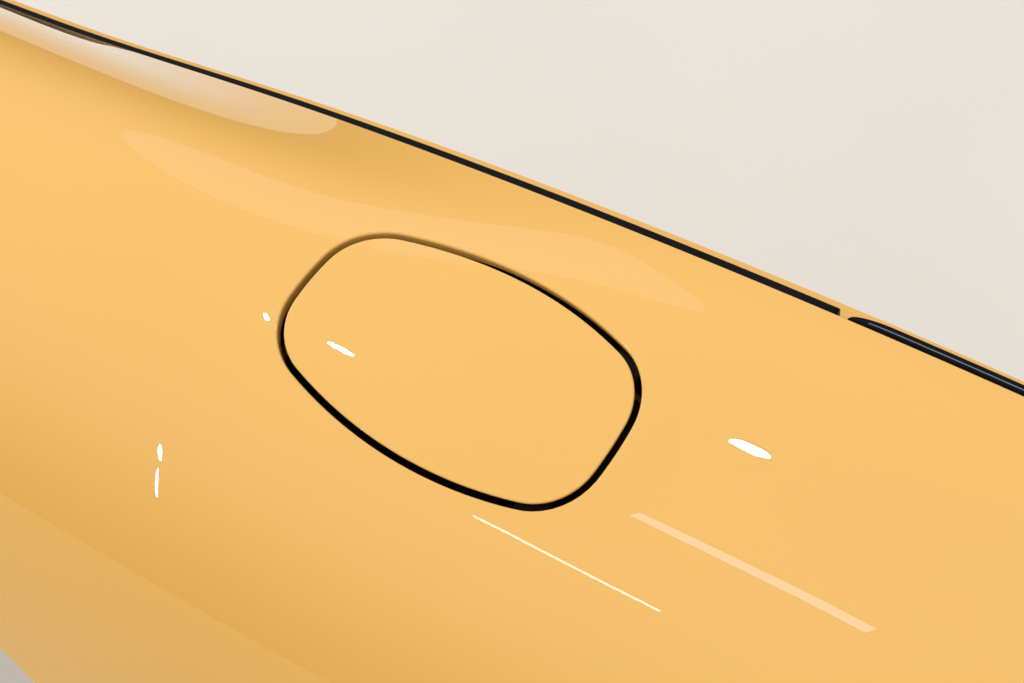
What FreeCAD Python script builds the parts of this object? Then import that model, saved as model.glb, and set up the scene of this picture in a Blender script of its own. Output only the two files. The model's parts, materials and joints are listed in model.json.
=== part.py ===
import FreeCAD, Part
import Sketcher
import math
import os

# Left front wing of a rear-engined coupe, with its hinged fuel filler flap.
# Frame: origin at the middle of the rear flange's bolt line, X rearwards, Y inboard, Z up.

os.makedirs("parts", exist_ok=True)
Vec = FreeCAD.Vector
Turn = FreeCAD.Rotation
Place = FreeCAD.Placement
doc = FreeCAD.newDocument("front_wing")

# Sizes in millimetres and degrees
SIZES = (
    ("wing_length", 1340.0),
    ("wing_width", 372.0),
    ("wing_height", 660.0),
    ("sheet_thickness", 1.0),
    ("arch_radius", 346.0),
    ("arch_lip_width", 14.0),
    ("liner_gap", 4.0),
    ("liner_thickness", 2.5),
    ("liner_depth", 220.0),
    ("lamp_lean", 21.0),
    ("lamp_bowl_radius", 92.0),
    ("lamp_bowl_depth", 92.0),
    ("lamp_seat_width", 9.0),
    ("wire_hole_radius", 14.0),
    ("flap_turn", -4.1),
    ("flap_length", 181.5),
    ("flap_width", 105.6),
    ("flap_corner", 33.0),
    ("flap_gap", 3.4),
    ("flap_stiffener", 1.2),
    ("rebate_depth", 4.0),
    ("bowl_margin", 8.5),
    ("bowl_depth", 80.0),
    ("bowl_wall", 1.2),
    ("bowl_front_room", 26.0),
    ("hinge_ahead", 16.0),
    ("hinge_below", 9.5),
    ("hinge_pin_radius", 2.5),
    ("hinge_arm_width", 30.0),
    ("hinge_arm_strap", 2.5),
    ("hinge_arm_drop", 19.5),
    ("hinge_arm_reach", 33.5),
    ("hinge_arm_pad", 28.0),
    ("neck_radius", 27.0),
    ("neck_wall", 2.0),
    ("neck_rise", 34.0),
    ("neck_fall", 62.0),
    ("hose_end", 50.0),
    ("grommet_flange", 9.0),
    ("grommet_height", 6.0),
    ("drain_radius", 6.0),
    ("drain_length", 34.0),
    ("cap_radius", 37.0),
    ("cap_height", 24.0),
    ("cap_grip_height", 9.0),
    ("cap_grip_width", 12.0),
    ("cap_skirt", 12.0),
    ("rail_drop", 18.0),
    ("rail_width", 24.0),
    ("rail_hole_radius", 3.5),
    ("flange_width", 40.0),
    ("flange_thickness", 1.5),
    ("bolt_hole_radius", 4.5),
    ("bolt_spacing", 150.0),
    ("end_bolt_spacing", 400.0),
    ("sill_width", 26.0),
    ("striker_width", 16.0),
    ("striker_length", 32.0),
    ("buffer_radius", 5.0),
    ("buffer_height", 13.0),
    ("seal_width", 6.0),
    ("seal_height", 9.5),
    ("seal_length", 178.0),
)
sheet = doc.addObject("Spreadsheet::Sheet", "Sizes")
for row, (alias, value) in enumerate(SIZES, 1):
    sheet.set("A%d" % row, alias)
    sheet.set("B%d" % row, str(value))
    sheet.setAlias("B%d" % row, alias)
doc.recompute()


# A length that knows the expression that drives it
class Length:
    def __init__(self, value, text):
        self.value = value
        self.text = text

    def __add__(self, other):
        return Length(self.value + number(other), "(%s + %s)" % (self.text, text_of(other)))

    def __radd__(self, other):
        return Length(number(other) + self.value, "(%s + %s)" % (text_of(other), self.text))

    def __sub__(self, other):
        return Length(self.value - number(other), "(%s - %s)" % (self.text, text_of(other)))

    def __rsub__(self, other):
        return Length(number(other) - self.value, "(%s - %s)" % (text_of(other), self.text))

    def __mul__(self, other):
        return Length(self.value * number(other), "(%s * %s)" % (self.text, text_of(other)))

    def __neg__(self):
        return Length(-self.value, "(-1 * %s)" % self.text)


def number(item):
    return item.value if isinstance(item, Length) else float(item)


def text_of(item):
    return item.text if isinstance(item, Length) else repr(float(item))


def size(alias):
    return Length(float(sheet.get(alias)), "Sizes.%s" % alias)


def drive(item, prop, length):
    setattr(item, prop, number(length))
    if isinstance(length, Length):
        item.setExpression(prop, length.text)


# Control net of the outer surface. Each row is a station, front to rear, and each pair is the
# y and z of a pole, from the bonnet edge over the crest and down the side to the sill.
NET = (
    (322.0, 104.0, 322.0, 190.0, 204.0, 330.0, 88.0, 268.0, 72.0, 166.0, 80.0, 60.0, 92.0, -20.8),
    (346.0, 140.0, 326.0, 208.0, 204.0, 366.0, 62.0, 297.0, 30.0, 168.0, 40.0, 0.9, 62.0, -100.6),
    (361.7, 202.3, 315.1, 239.9, 208.5, 395.2, 38.1, 324.6, -25.3, 171.9, -6.4, -61.5, 22.9, -184.4),
    (322.0, 251.3, 273.0, 297.0, 211.1, 404.8, 33.0, 341.9, -52.5, 175.8, -23.3, -100.3, -2.7, -239.4),
    (277.6, 324.2, 235.4, 341.8, 197.7, 388.1, 35.0, 331.9, -54.8, 160.8, -22.0, -107.5, -5.9, -252.1),
    (240.6, 381.4, 200.7, 381.2, 169.5, 362.8, 31.1, 304.3, -51.3, 139.2, -19.9, -103.0, -4.8, -253.1),
    (221.2, 404.3, 181.4, 398.2, 153.1, 366.7, 29.0, 306.7, -47.3, 147.2, -18.9, -94.0, -4.6, -251.6),
    (213.2, 408.0, 170.1, 403.9, 146.5, 380.5, 28.8, 319.3, -44.3, 165.1, -18.2, -86.6, -4.9, -250.1),
)
NET_SPAN = 372.0
NET_RISE = 660.0
# Shares of the length, front to rear, and of the girth, bonnet edge to sill
STATION_KNOTS = (0.0, 0.28358, 0.43284, 0.58209, 0.72637, 1.0)
GIRTH_KNOTS = (0.0, 0.25333, 0.43, 0.61667, 1.0)
KNOT_COUNTS = (4, 1, 1, 1, 1, 4)
GIRTH_COUNTS = (4, 1, 1, 1, 4)
DEGREE = 3

wing_length = size("wing_length").value
scale_y = size("wing_width").value / NET_SPAN
scale_z = size("wing_height").value / NET_RISE
thickness = size("sheet_thickness")


# The middle of each run of inner knots, where a pole of a straight line sits
def pole_shares(knots, counts):
    every = [knot for knot, count in zip(knots, counts) for _ in range(count)]
    return [sum(every[i + 1:i + 1 + DEGREE]) / DEGREE for i in range(len(every) - DEGREE - 1)]


STATION_POLES = pole_shares(STATION_KNOTS, KNOT_COUNTS)
GIRTH_POLES = pole_shares(GIRTH_KNOTS, GIRTH_COUNTS)


def surface_from(poles):
    surface = Part.BSplineSurface()
    surface.buildFromPolesMultsKnots(
        poles, KNOT_COUNTS, GIRTH_COUNTS, STATION_KNOTS, GIRTH_KNOTS, False, False, DEGREE, DEGREE
    )
    return surface


def station_x(share):
    return wing_length * (share - 1.0)


def share_of(x):
    return 1.0 + x / wing_length


def net_poles():
    rows = []
    for share, row in zip(STATION_POLES, NET):
        pairs = zip(row[0::2], row[1::2])
        rows.append([Vec(station_x(share), y * scale_y, z * scale_z) for y, z in pairs])
    return rows


OUTER_POLES = net_poles()
OUTER = surface_from(OUTER_POLES)


# The surface's normal, turned away from a line inside the wing
def outward(u, v):
    normal = OUTER.normal(u, v)
    point = OUTER.value(u, v)
    inside = Vec(point.x, 0.32 * size("wing_width").value, 0.15 * size("wing_height").value)
    if normal.dot(point - inside) < 0:
        normal = normal * -1.0
    return normal


# A surface inside the outer one by a depth, with each pole kept in its station's plane
def inner_surface(depth):
    rows = []
    for u, row in zip(STATION_POLES, OUTER_POLES):
        moved = []
        for v, pole in zip(GIRTH_POLES, row):
            normal = outward(u, v)
            flat = normal.y * normal.y + normal.z * normal.z
            moved.append(pole - Vec(0, normal.y, normal.z) * (depth / flat))
        rows.append(moved)
    return surface_from(rows)


# A straight-ruled face between two curves with the same knots
def ruled(first, second):
    surface = Part.BSplineSurface()
    surface.buildFromPolesMultsKnots(
        [first.getPoles(), second.getPoles()], (2, 2), first.getMultiplicities(),
        (0.0, 1.0), first.getKnots(), False, False, 1, first.Degree
    )
    return surface.toShape()


def solid_of(faces):
    shell = Part.makeShell(faces)
    shell.sewShape()
    solid = Part.makeSolid(shell)
    if solid.Volume < 0:
        solid.reverse()
    return solid


# A sheet between two depths under the outer surface
def sheet_solid(upper, lower):
    first = inner_surface(number(upper)) if number(upper) else OUTER
    second = inner_surface(number(lower))
    faces = [first.toShape(), second.toShape()]
    for u in (STATION_KNOTS[0], STATION_KNOTS[-1]):
        faces.append(ruled(first.uIso(u), second.uIso(u)))
    for v in (GIRTH_KNOTS[0], GIRTH_KNOTS[-1]):
        faces.append(ruled(first.vIso(v), second.vIso(v)))
    return solid_of(faces)


def at_height(curve, height):
    flat = curve.copy()
    for index, pole in enumerate(curve.getPoles(), 1):
        flat.setPole(index, Vec(pole.x, pole.y, height))
    return flat


# Everything under a depth of the outer surface, down to a level floor
def inside_solid(depth):
    floor_z = -0.4 * size("wing_height").value
    surface = inner_surface(number(depth))
    top, side = surface.vIso(GIRTH_KNOTS[0]), surface.vIso(GIRTH_KNOTS[-1])
    top_low, side_low = at_height(top, floor_z), at_height(side, floor_z)
    faces = [surface.toShape(), ruled(top, top_low), ruled(top_low, side_low), ruled(side_low, side)]
    for u in (STATION_KNOTS[0], STATION_KNOTS[-1]):
        arc = surface.uIso(u)
        start, end = arc.value(GIRTH_KNOTS[0]), arc.value(GIRTH_KNOTS[-1])
        corners = [end, Vec(end.x, end.y, floor_z), Vec(start.x, start.y, floor_z), start]
        edges = [arc.toShape()]
        edges += [Part.makeLine(a, b) for a, b in zip(corners, corners[1:])]
        faces.append(Part.Face(Part.Wire(edges)))
    return solid_of(faces)


# Document objects
def feature(name, shape):
    item = doc.addObject("Part::Feature", name)
    item.Shape = shape
    return item


def cut(name, base, tool):
    item = doc.addObject("Part::Cut", name)
    item.Base = base
    item.Tool = tool
    return item


def common(name, base, tool):
    item = doc.addObject("Part::Common", name)
    item.Base = base
    item.Tool = tool
    return item


def fuse(name, *items):
    item = doc.addObject("Part::MultiFuse", name)
    item.Shapes = list(items)
    item.Refine = True
    return item


def box(name, low, high, placement=Place()):
    item = doc.addObject("Part::Box", name)
    for prop, a, b in zip(("Length", "Width", "Height"), low, high):
        drive(item, prop, b - a if isinstance(b, Length) else Length(number(b), text_of(b)) - a)
    item.Placement = placement.multiply(Place(Vec(*[number(a) for a in low]), Turn()))
    return item


def cylinder(name, radius, height, base, direction):
    item = doc.addObject("Part::Cylinder", name)
    drive(item, "Radius", radius)
    drive(item, "Height", height)
    item.Placement = Place(base, Turn(Vec(0, 0, 1), direction))
    return item


def extrusion(name, profile, direction, forward, backward):
    item = doc.addObject("Part::Extrusion", name)
    item.Base = profile
    item.DirMode = "Custom"
    item.Dir = direction
    drive(item, "LengthFwd", forward)
    drive(item, "LengthRev", backward)
    item.Solid = True
    return item


# Sketched bodies
SKETCH_PLANES = {"XY_Plane": Turn(), "XZ_Plane": Turn(Vec(1, 0, 0), 90)}


def new_body(name, placement):
    item = doc.addObject("PartDesign::Body", name)
    item.Placement = placement
    return item


def body_sketch(body, name, plane):
    item = body.newObject("Sketcher::SketchObject", name)
    for origin_item in body.Origin.OriginFeatures:
        if origin_item.Role == plane:
            item.AttachmentSupport = [(origin_item, "")]
    item.MapMode = "FlatFace"
    return item


# A closed outline of straight lines whose corners are all dimensioned from the sketch's origin
def draw_outline(item, corners):
    points = [Vec(number(x), number(y), 0) for x, y in corners]
    count = len(points)
    first = item.GeometryCount
    for index in range(count):
        item.addGeometry(Part.LineSegment(points[index], points[(index + 1) % count]), False)
    for index in range(count):
        following = first + (index + 1) % count
        item.addConstraint(Sketcher.Constraint("Coincident", first + index, 2, following, 1))
    for index, (x, y) in enumerate(corners):
        for kind, length in (("DistanceX", x), ("DistanceY", y)):
            if abs(number(length)) < 1e-9:
                axis = -2 if kind == "DistanceX" else -1
                item.addConstraint(Sketcher.Constraint("PointOnObject", first + index, 1, axis))
                continue
            place = item.addConstraint(Sketcher.Constraint(kind, -1, 1, first + index, 1, number(length)))
            if isinstance(length, Length):
                item.setExpression("Constraints[%d]" % place, length.text)
    return item


def draw_circle(item, x, y, radius):
    place = item.addGeometry(Part.Circle(Vec(number(x), number(y), 0), Vec(0, 0, 1), number(radius)), False)
    mark = item.addConstraint(Sketcher.Constraint("Radius", place, number(radius)))
    if isinstance(radius, Length):
        item.setExpression("Constraints[%d]" % mark, radius.text)
    for kind, length, axis in (("DistanceX", x, -2), ("DistanceY", y, -1)):
        if abs(number(length)) < 1e-9:
            item.addConstraint(Sketcher.Constraint("PointOnObject", place, 3, axis))
            continue
        mark = item.addConstraint(Sketcher.Constraint(kind, -1, 1, place, 3, number(length)))
        if isinstance(length, Length):
            item.setExpression("Constraints[%d]" % mark, length.text)
    return item


def pad(body, name, profile, length, both=False):
    item = body.newObject("PartDesign::Pad", name)
    item.Profile = profile
    drive(item, "Length", length)
    item.Midplane = both
    return item


def pocket(body, name, profile, length, both=False):
    item = body.newObject("PartDesign::Pocket", name)
    item.Profile = profile
    drive(item, "Length", length)
    item.Midplane = both
    return item


# A turned piece: the outline of radius and height goes round the body's own Z axis
def turned(name, placement, corners):
    body = new_body(name, placement)
    outline_sketch = draw_outline(body_sketch(body, name + "_outline", "XZ_Plane"), corners)
    item = body.newObject("PartDesign::Revolution", name + "_turn")
    item.Profile = outline_sketch
    item.ReferenceAxis = (outline_sketch, ["V_Axis"])
    item.Angle = 360.0
    return body


# Places that follow the panel's own sizes
wheel_x = -0.50746 * wing_length
wheel_z = -0.21212 * size("wing_height").value
nose_z = 0.08333 * size("wing_height").value
lamp_centre = Vec(
    -0.95267 * wing_length, 0.50662 * size("wing_width").value, 0.29185 * size("wing_height").value
)
flap_x = -0.25149 * wing_length
flap_y = 0.37140 * size("wing_width").value

skin_sheet = feature("skin_sheet", sheet_solid(0.0, thickness))
under_skin = feature("under_skin", inside_solid(thickness))


# Flap frame: centre on the surface, X towards the rear, Y inboard, Z out of the surface
def girth_at(x, y):
    low, high = 0.0, 0.7
    for _ in range(50):
        middle = (low + high) / 2
        if OUTER.value(share_of(x), middle).y > y:
            low = middle
        else:
            high = middle
    return low


flap_girth = girth_at(flap_x, flap_y)
flap_centre = OUTER.value(share_of(flap_x), flap_girth)
flap_out = outward(share_of(flap_x), flap_girth)
level_rear = Vec(1, 0, 0) - flap_out * flap_out.x
level_rear.normalize()
flap_rear = Turn(flap_out, size("flap_turn").value).multVec(level_rear)
flap_inboard = flap_out.cross(flap_rear)
flap_turned = Turn(flap_rear, flap_inboard, flap_out)
flap_frame = Place(flap_centre, flap_turned)


def in_flap(a, b, n):
    return flap_frame.multVec(Vec(number(a), number(b), number(n)))


def flap_place(a, b, n):
    return Place(in_flap(a, b, n), flap_turned)


# Height of the outer surface over the flap's own plane at a point of that plane
def surface_height(a, b):
    height = 0.0
    for _ in range(8):
        point = in_flap(a, b, height)
        girth = girth_at(point.x, point.y)
        height += (OUTER.value(share_of(point.x), girth) - point).dot(flap_out)
    return height


# The flap's outline: eight arcs, tangent to each other, for the long sides, ends and corners
SIDE_SWEEP = math.radians(16.9)
END_SWEEP = math.radians(4.2)


def flap_arcs():
    half_a, half_b = size("flap_length").value / 2, size("flap_width").value / 2
    corner = size("flap_corner").value
    ca, sa = math.cos(SIDE_SWEEP), math.sin(SIDE_SWEEP)
    ce, se = math.cos(END_SWEEP), math.sin(END_SWEEP)
    along = half_a - corner * (ce - sa)
    across_b = half_b - corner * (ca - se)
    whole = sa * se - (1 - ce) * (1 - ca)
    side = (along * se - (1 - ce) * across_b) / whole
    end = (sa * across_b - (1 - ca) * along) / whole
    corner_centre = ((side - corner) * sa, half_b - side + (side - corner) * ca)
    return side, end, corner, corner_centre


def outline(name, grow, front_room=0.0):
    side, end, corner, corner_centre = flap_arcs()
    half_a, half_b = size("flap_length").value / 2, size("flap_width").value / 2
    grow, front_room = number(grow), number(front_room)
    right = math.pi / 2
    turns = (
        (half_a - end, 0.0, end, -END_SWEEP, END_SWEEP),
        (corner_centre[0], corner_centre[1], corner, END_SWEEP, right - SIDE_SWEEP),
        (0.0, half_b - side, side, right - SIDE_SWEEP, right),
        (0.0, half_b - side, side, right, right + SIDE_SWEEP),
        (-corner_centre[0], corner_centre[1], corner, right + SIDE_SWEEP, 2 * right - END_SWEEP),
        (end - half_a, 0.0, end, 2 * right - END_SWEEP, 2 * right + END_SWEEP),
        (-corner_centre[0], -corner_centre[1], corner, 2 * right + END_SWEEP, 3 * right - SIDE_SWEEP),
        (0.0, side - half_b, side, 3 * right - SIDE_SWEEP, 3 * right),
        (0.0, side - half_b, side, 3 * right, 3 * right + SIDE_SWEEP),
        (corner_centre[0], -corner_centre[1], corner, 3 * right + SIDE_SWEEP, 4 * right - END_SWEEP),
    )
    item = doc.addObject("Sketcher::SketchObject", name)
    item.Placement = flap_frame
    ahead = range(3, 8) if front_room else ()
    arcs = []
    for index, (a, b, radius, start, stop) in enumerate(turns):
        shift = front_room if index in ahead else 0.0
        circle = Part.Circle(Vec(a - shift, b, 0), Vec(0, 0, 1), radius + grow)
        arcs.append(item.addGeometry(Part.ArcOfCircle(circle, start, stop), False))
    order = list(arcs)
    if front_room:
        edge = half_b + grow
        top = item.addGeometry(Part.LineSegment(Vec(0, edge, 0), Vec(-front_room, edge, 0)), False)
        low = item.addGeometry(Part.LineSegment(Vec(-front_room, -edge, 0), Vec(0, -edge, 0)), False)
        order = arcs[:3] + [top] + arcs[3:8] + [low] + arcs[8:]
    for first, second in zip(order, order[1:] + order[:1]):
        item.addConstraint(Sketcher.Constraint("Coincident", first, 2, second, 1))
    for index, arc in enumerate(arcs):
        item.addConstraint(Sketcher.Constraint("Radius", arc, turns[index][2] + grow))
    return item


ABOVE, BELOW = 30.0, 45.0
gap = size("flap_gap")
flap_block = extrusion("flap_block", outline("flap_outline", 0.0), flap_out, ABOVE, BELOW)
aperture_block = extrusion("aperture_block", outline("aperture_outline", gap), flap_out, ABOVE, BELOW)

# Outer panel: the sheet less the arch, the nose, the lamp plane and the flap opening
half_width = 0.5 * size("wing_width").value
beyond = 2.0 * size("wing_width").value
arch_radius = size("arch_radius")
ring_base = Vec(wheel_x, -half_width, wheel_z)
side_reach = 1.5 * half_width
arch_block = cylinder("arch_block", arch_radius, side_reach, ring_base, Vec(0, 1, 0))
nose_box = box(
    "nose_box", (-wing_length - beyond, -half_width, -beyond), (wheel_x - 0.5 * arch_radius.value, beyond, nose_z)
)
lean = math.radians(size("lamp_lean").value)
lamp_out = Vec(-math.cos(lean), 0, math.sin(lean))
lamp_frame = Place(lamp_centre, Turn(Vec(0, 0, 1), lamp_out))
lamp_box = box("lamp_box", (-beyond, -beyond, 0), (beyond, beyond, beyond), lamp_frame)
skin_cuts = fuse("skin_cuts", arch_block, nose_box, lamp_box, aperture_block)
wing_skin = cut("wing_skin", skin_sheet, skin_cuts)


# Arch lip: a narrow ring that turns in from the edge of the arch
def band(name, radius, wall, base, length):
    outer_part = cylinder(name + "_outer", radius + wall, length, base, Vec(0, 1, 0))
    inner_part = cylinder(name + "_inner", radius, length, base, Vec(0, 1, 0))
    return cut(name, outer_part, inner_part)


lip_ring = band("lip_ring", arch_radius, thickness, ring_base, side_reach)
under_lip = feature("under_lip", inside_solid(thickness + size("arch_lip_width")))
lip_band = cut("lip_band", lip_ring, under_lip)
lip_clip = common("lip_clip", lip_band, under_skin)
arch_lip = cut("arch_lip", lip_clip, nose_box)

# Arch liner: a moulded shell above the tyre, against the inside of the outer panel
side_out = -0.22 * half_width
liner_base = Vec(wheel_x, 2 * side_out, wheel_z)
liner_ring = band(
    "liner_ring", arch_radius + size("liner_gap"), size("liner_thickness"), liner_base, size("liner_depth") - 2 * side_out
)
liner_clip = common("liner_clip", liner_ring, under_skin)
liner_floor = box(
    "liner_floor", (-wing_length, -half_width, -beyond), (0, beyond, wheel_z + 0.35 * arch_radius.value)
)
arch_liner = cut("arch_liner", liner_clip, liner_floor)


# A folded strip: corners of (y, z) offsets carried along a curve in X
def carried(curve, corners):
    copies = []
    for dy, dz in corners:
        moved = curve.copy()
        moved.translate(Vec(0, number(dy), number(dz)))
        copies.append(moved)
    faces = [ruled(first, second) for first, second in zip(copies, copies[1:] + copies[:1])]
    for end in (curve.FirstParameter, curve.LastParameter):
        points = [item.value(end) for item in copies]
        faces.append(Part.Face(Part.makePolygon(points + points[:1])))
    return solid_of(faces)


# Bonnet rail: the inner edge turns down, then inboard, and is bolted to the inner body
SET_BACK = 0.3
SET_DOWN = 0.25
edge_curve = OUTER.vIso(GIRTH_KNOTS[0])
drop, rail_in = size("rail_drop"), size("rail_width")
rail_corners = (
    (-thickness - SET_BACK, -SET_DOWN), (-SET_BACK, -SET_DOWN), (-SET_BACK, thickness - drop),
    (rail_in, thickness - drop), (rail_in, -drop), (-thickness - SET_BACK, -drop),
)
rail_strip = feature("rail_strip", carried(edge_curve, rail_corners))

RAIL_PAIRS = (
    ("rail_front", 0.2090, 0.2836),
    ("rail_middle", 0.5224, 0.5970),
    ("rail_rear", 0.8209, 0.8955),
)
rail_drills = []
rail_mounts = {}
for name, share_front, share_rear in RAIL_PAIRS:
    middle_y = 0.5 * (rail_in.value - SET_BACK)
    ends = [
        edge_curve.value(share) + Vec(0, middle_y, 0.5 * thickness.value - drop.value)
        for share in (share_front, share_rear)
    ]
    along = ends[1] - ends[0]
    pitch = along.Length
    along.normalize()
    normal = along.cross(Vec(0, 1, 0))
    normal.normalize()
    if normal.z < 0:
        normal = normal * -1.0
    for index, end in enumerate(ends, 1):
        drill = cylinder("%s_drill_%d" % (name, index), size("rail_hole_radius"), 12, end - normal * 6, normal)
        rail_drills.append(drill)
    rail_mounts[name] = ((ends[0] + ends[1]) * 0.5, normal, pitch)
rail_tools = fuse("rail_tools", skin_sheet, lamp_box, *rail_drills)
bonnet_rail = cut("bonnet_rail", rail_strip, rail_tools)

# Rear flange: a plate inside the section at the door end, with four bolt holes in line
FLANGE_TOP_SHARE, FLANGE_LOW_SHARE = 0.30, 0.985
flange = size("flange_width")
near = OUTER.uIso(STATION_KNOTS[-1])
far = inner_surface(number(thickness + flange)).uIso(STATION_KNOTS[-1])
near.segment(FLANGE_TOP_SHARE, FLANGE_LOW_SHARE)
far.segment(FLANGE_TOP_SHARE, FLANGE_LOW_SHARE)
flange_wire = Part.Wire([
    near.toShape(),
    Part.makeLine(near.value(FLANGE_LOW_SHARE), far.value(FLANGE_LOW_SHARE)),
    far.toShape(),
    Part.makeLine(far.value(FLANGE_TOP_SHARE), near.value(FLANGE_TOP_SHARE)),
])
flange_face = feature("flange_face", Part.Face(flange_wire))
flange_plate = extrusion("flange_plate", flange_face, Vec(1, 0, 0), 0.0, size("flange_thickness"))
flange_clip = common("flange_clip", flange_plate, under_skin)
flange_drills = []
for index, share in enumerate((-0.5, 0.5)):
    for kind in ("bolt_spacing", "end_bolt_spacing"):
        base = Vec(-10, 0, share * size(kind).value)
        drill = cylinder("flange_%s_%d" % (kind, index), size("bolt_hole_radius"), 20, base, Vec(1, 0, 0))
        flange_drills.append(drill)
flange_drill = fuse("flange_drill", *flange_drills)
rear_flange = cut("rear_flange", flange_clip, flange_drill)

# Sill flange: the lower edge behind the wheel turns inboard
sill_curve = OUTER.vIso(GIRTH_KNOTS[-1])
sill_rise = sill_curve.value(STATION_KNOTS[-1]).z - wheel_z
sill_front = wheel_x + math.sqrt(arch_radius.value ** 2 - sill_rise ** 2) + 5.0
sill_curve.segment(share_of(sill_front), share_of(-2.0))
sill_in = size("sill_width")
sill_strip = feature(
    "sill_strip", carried(sill_curve, ((0, 0), (sill_in, 0), (sill_in, -thickness), (0, -thickness)))
)
sill_drills = []
sill_points = []
for index, share in enumerate((0.25, 0.80), 1):
    x = sill_front * (1 - share)
    point = sill_curve.value(share_of(x)) + Vec(0, 0.5 * sill_in.value, -0.5 * thickness.value)
    sill_points.append(point)
    drill = cylinder("sill_drill_%d" % index, size("rail_hole_radius"), 20, point - Vec(0, 0, 10), Vec(0, 0, 1))
    sill_drills.append(drill)
sill_drill = fuse("sill_drill", *sill_drills)
sill_flange = cut("sill_flange", sill_strip, sill_drill)

# Headlamp seat: a flat panel across the nose with a raised ring, and a bowl behind it
bowl_radius, bowl_length = size("lamp_bowl_radius"), size("lamp_bowl_depth")
panel_wall = 1.2
lamp_plate = box("lamp_plate", (-beyond, -beyond, -panel_wall), (beyond, beyond, 0), lamp_frame)
lamp_plate_clip = common("lamp_plate_clip", lamp_plate, under_skin)
lamp_hole = cylinder("lamp_hole", bowl_radius, 60, lamp_frame.multVec(Vec(0, 0, -30)), lamp_out)
lamp_cuts = fuse("lamp_cuts", nose_box, lamp_hole)
lamp_panel = cut("lamp_panel", lamp_plate_clip, lamp_cuts)
wire_hole = size("wire_hole_radius")
headlamp_bowl = turned(
    "headlamp_bowl", lamp_frame,
    (
        (bowl_radius, 0.0), (bowl_radius - 3, -bowl_length * 0.55), (bowl_radius * 0.6, -bowl_length),
        (wire_hole, -bowl_length), (wire_hole, panel_wall - bowl_length),
        (bowl_radius * 0.6 - 0.7, panel_wall - bowl_length), (bowl_radius - 3 - panel_wall, panel_wall - bowl_length * 0.55),
        (bowl_radius - panel_wall, 0.0),
    ),
)
lamp_ring = turned(
    "lamp_ring", lamp_frame,
    (
        (bowl_radius - panel_wall, 0.0), (bowl_radius + size("lamp_seat_width"), 0.0),
        (bowl_radius + size("lamp_seat_width") - 1.5, 3.0), (bowl_radius + 1.0, 3.0),
        (bowl_radius - panel_wall, 1.2),
    ),
)

# Flap opening: its edge is folded down a little way
rebate_block = extrusion("rebate_block", outline("rebate_outline", gap + thickness), flap_out, ABOVE, BELOW)
rebate_ring = cut("rebate_ring", rebate_block, aperture_block)
rebate_sheet = feature("rebate_sheet", sheet_solid(thickness, size("rebate_depth")))
flap_rebate = common("flap_rebate", rebate_sheet, rebate_ring)

# Filler bowl: a deep pan under the opening, with room for the hinge at its front
bowl_deep = size("bowl_depth")
bowl_wall = size("bowl_wall")
bowl_grow = size("bowl_margin")
front_room = size("bowl_front_room")
pan_outer = extrusion(
    "pan_outer", outline("pan_outer_outline", bowl_grow + bowl_wall, front_room), flap_out, ABOVE, bowl_deep
)
pan_inner = extrusion(
    "pan_inner", outline("pan_inner_outline", bowl_grow, front_room), flap_out, ABOVE + 1, bowl_deep - bowl_wall
)
pan_shell = cut("pan_shell", pan_outer, pan_inner)
NECK_A = 22.0
DRAIN_A, DRAIN_B = -30.0, -42.0
neck_r = size("neck_radius")
grommet_hole = neck_r + 4
drain_r = size("drain_radius")
neck_hole = cylinder("neck_hole", grommet_hole, 20, in_flap(NECK_A, 0, -bowl_deep - 10), flap_out)
drain_hole = cylinder("drain_hole", drain_r, 20, in_flap(DRAIN_A, DRAIN_B, -bowl_deep - 10), flap_out)
pan_drill = fuse("pan_drill", neck_hole, drain_hole)
pan_drilled = cut("pan_drilled", pan_shell, pan_drill)
filler_bowl = common("filler_bowl", pan_drilled, under_skin)

# Filler neck with a hose end and a stop bead, its rubber grommet and the drain spout
neck_fall, neck_rise, hose = size("neck_fall"), size("neck_rise"), size("hose_end")
neck_wall = size("neck_wall")
neck_frame = flap_place(NECK_A, 0, -bowl_deep)
filler_neck = turned(
    "filler_neck", neck_frame,
    (
        (neck_r - neck_wall * 2, -neck_fall), (neck_r - neck_wall, -neck_fall), (neck_r - neck_wall, hose - neck_fall),
        (neck_r, hose + 2 - neck_fall), (neck_r, neck_rise), (neck_r - neck_wall, neck_rise),
        (neck_r - neck_wall * 2, neck_rise - 6),
    ),
)
grommet_wide = neck_r + size("grommet_flange")
grommet_top = size("grommet_height")
neck_grommet = turned(
    "neck_grommet", neck_frame,
    (
        (neck_r, 0.0), (grommet_hole, 0.0), (grommet_hole, bowl_wall), (grommet_wide, bowl_wall),
        (grommet_wide, bowl_wall + 1.5), (neck_r + 3, grommet_top), (neck_r, grommet_top),
    ),
)
drain_spout = turned(
    "drain_spout", flap_place(DRAIN_A, DRAIN_B, -bowl_deep),
    (
        (drain_r - 1.2, bowl_wall), (drain_r, bowl_wall), (drain_r, -size("drain_length")),
        (drain_r - 1.2, -size("drain_length")),
    ),
)

# Hinge axis, ahead of the flap and under the panel
hinge_a = -0.5 * size("flap_length").value - size("hinge_ahead").value
hinge_n = surface_height(hinge_a, 0) - size("hinge_below").value
hinge_point = in_flap(hinge_a, 0, hinge_n)
pin_radius = size("hinge_pin_radius")
arm_width = size("hinge_arm_width")
arm_half = arm_width.value / 2
knuckle = pin_radius + 2.2

# A frame across the flap: X to the rear, Y out of the surface, Z along the hinge line
hinge_turned = Turn(flap_rear, flap_out, flap_inboard * -1.0)
hinge_frame = Place(hinge_point, hinge_turned)

pin_length = arm_width + 16
hinge_pin = cylinder("hinge_pin", pin_radius, pin_length, in_flap(hinge_a, -0.5 * pin_length.value, hinge_n), flap_inboard)

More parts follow.
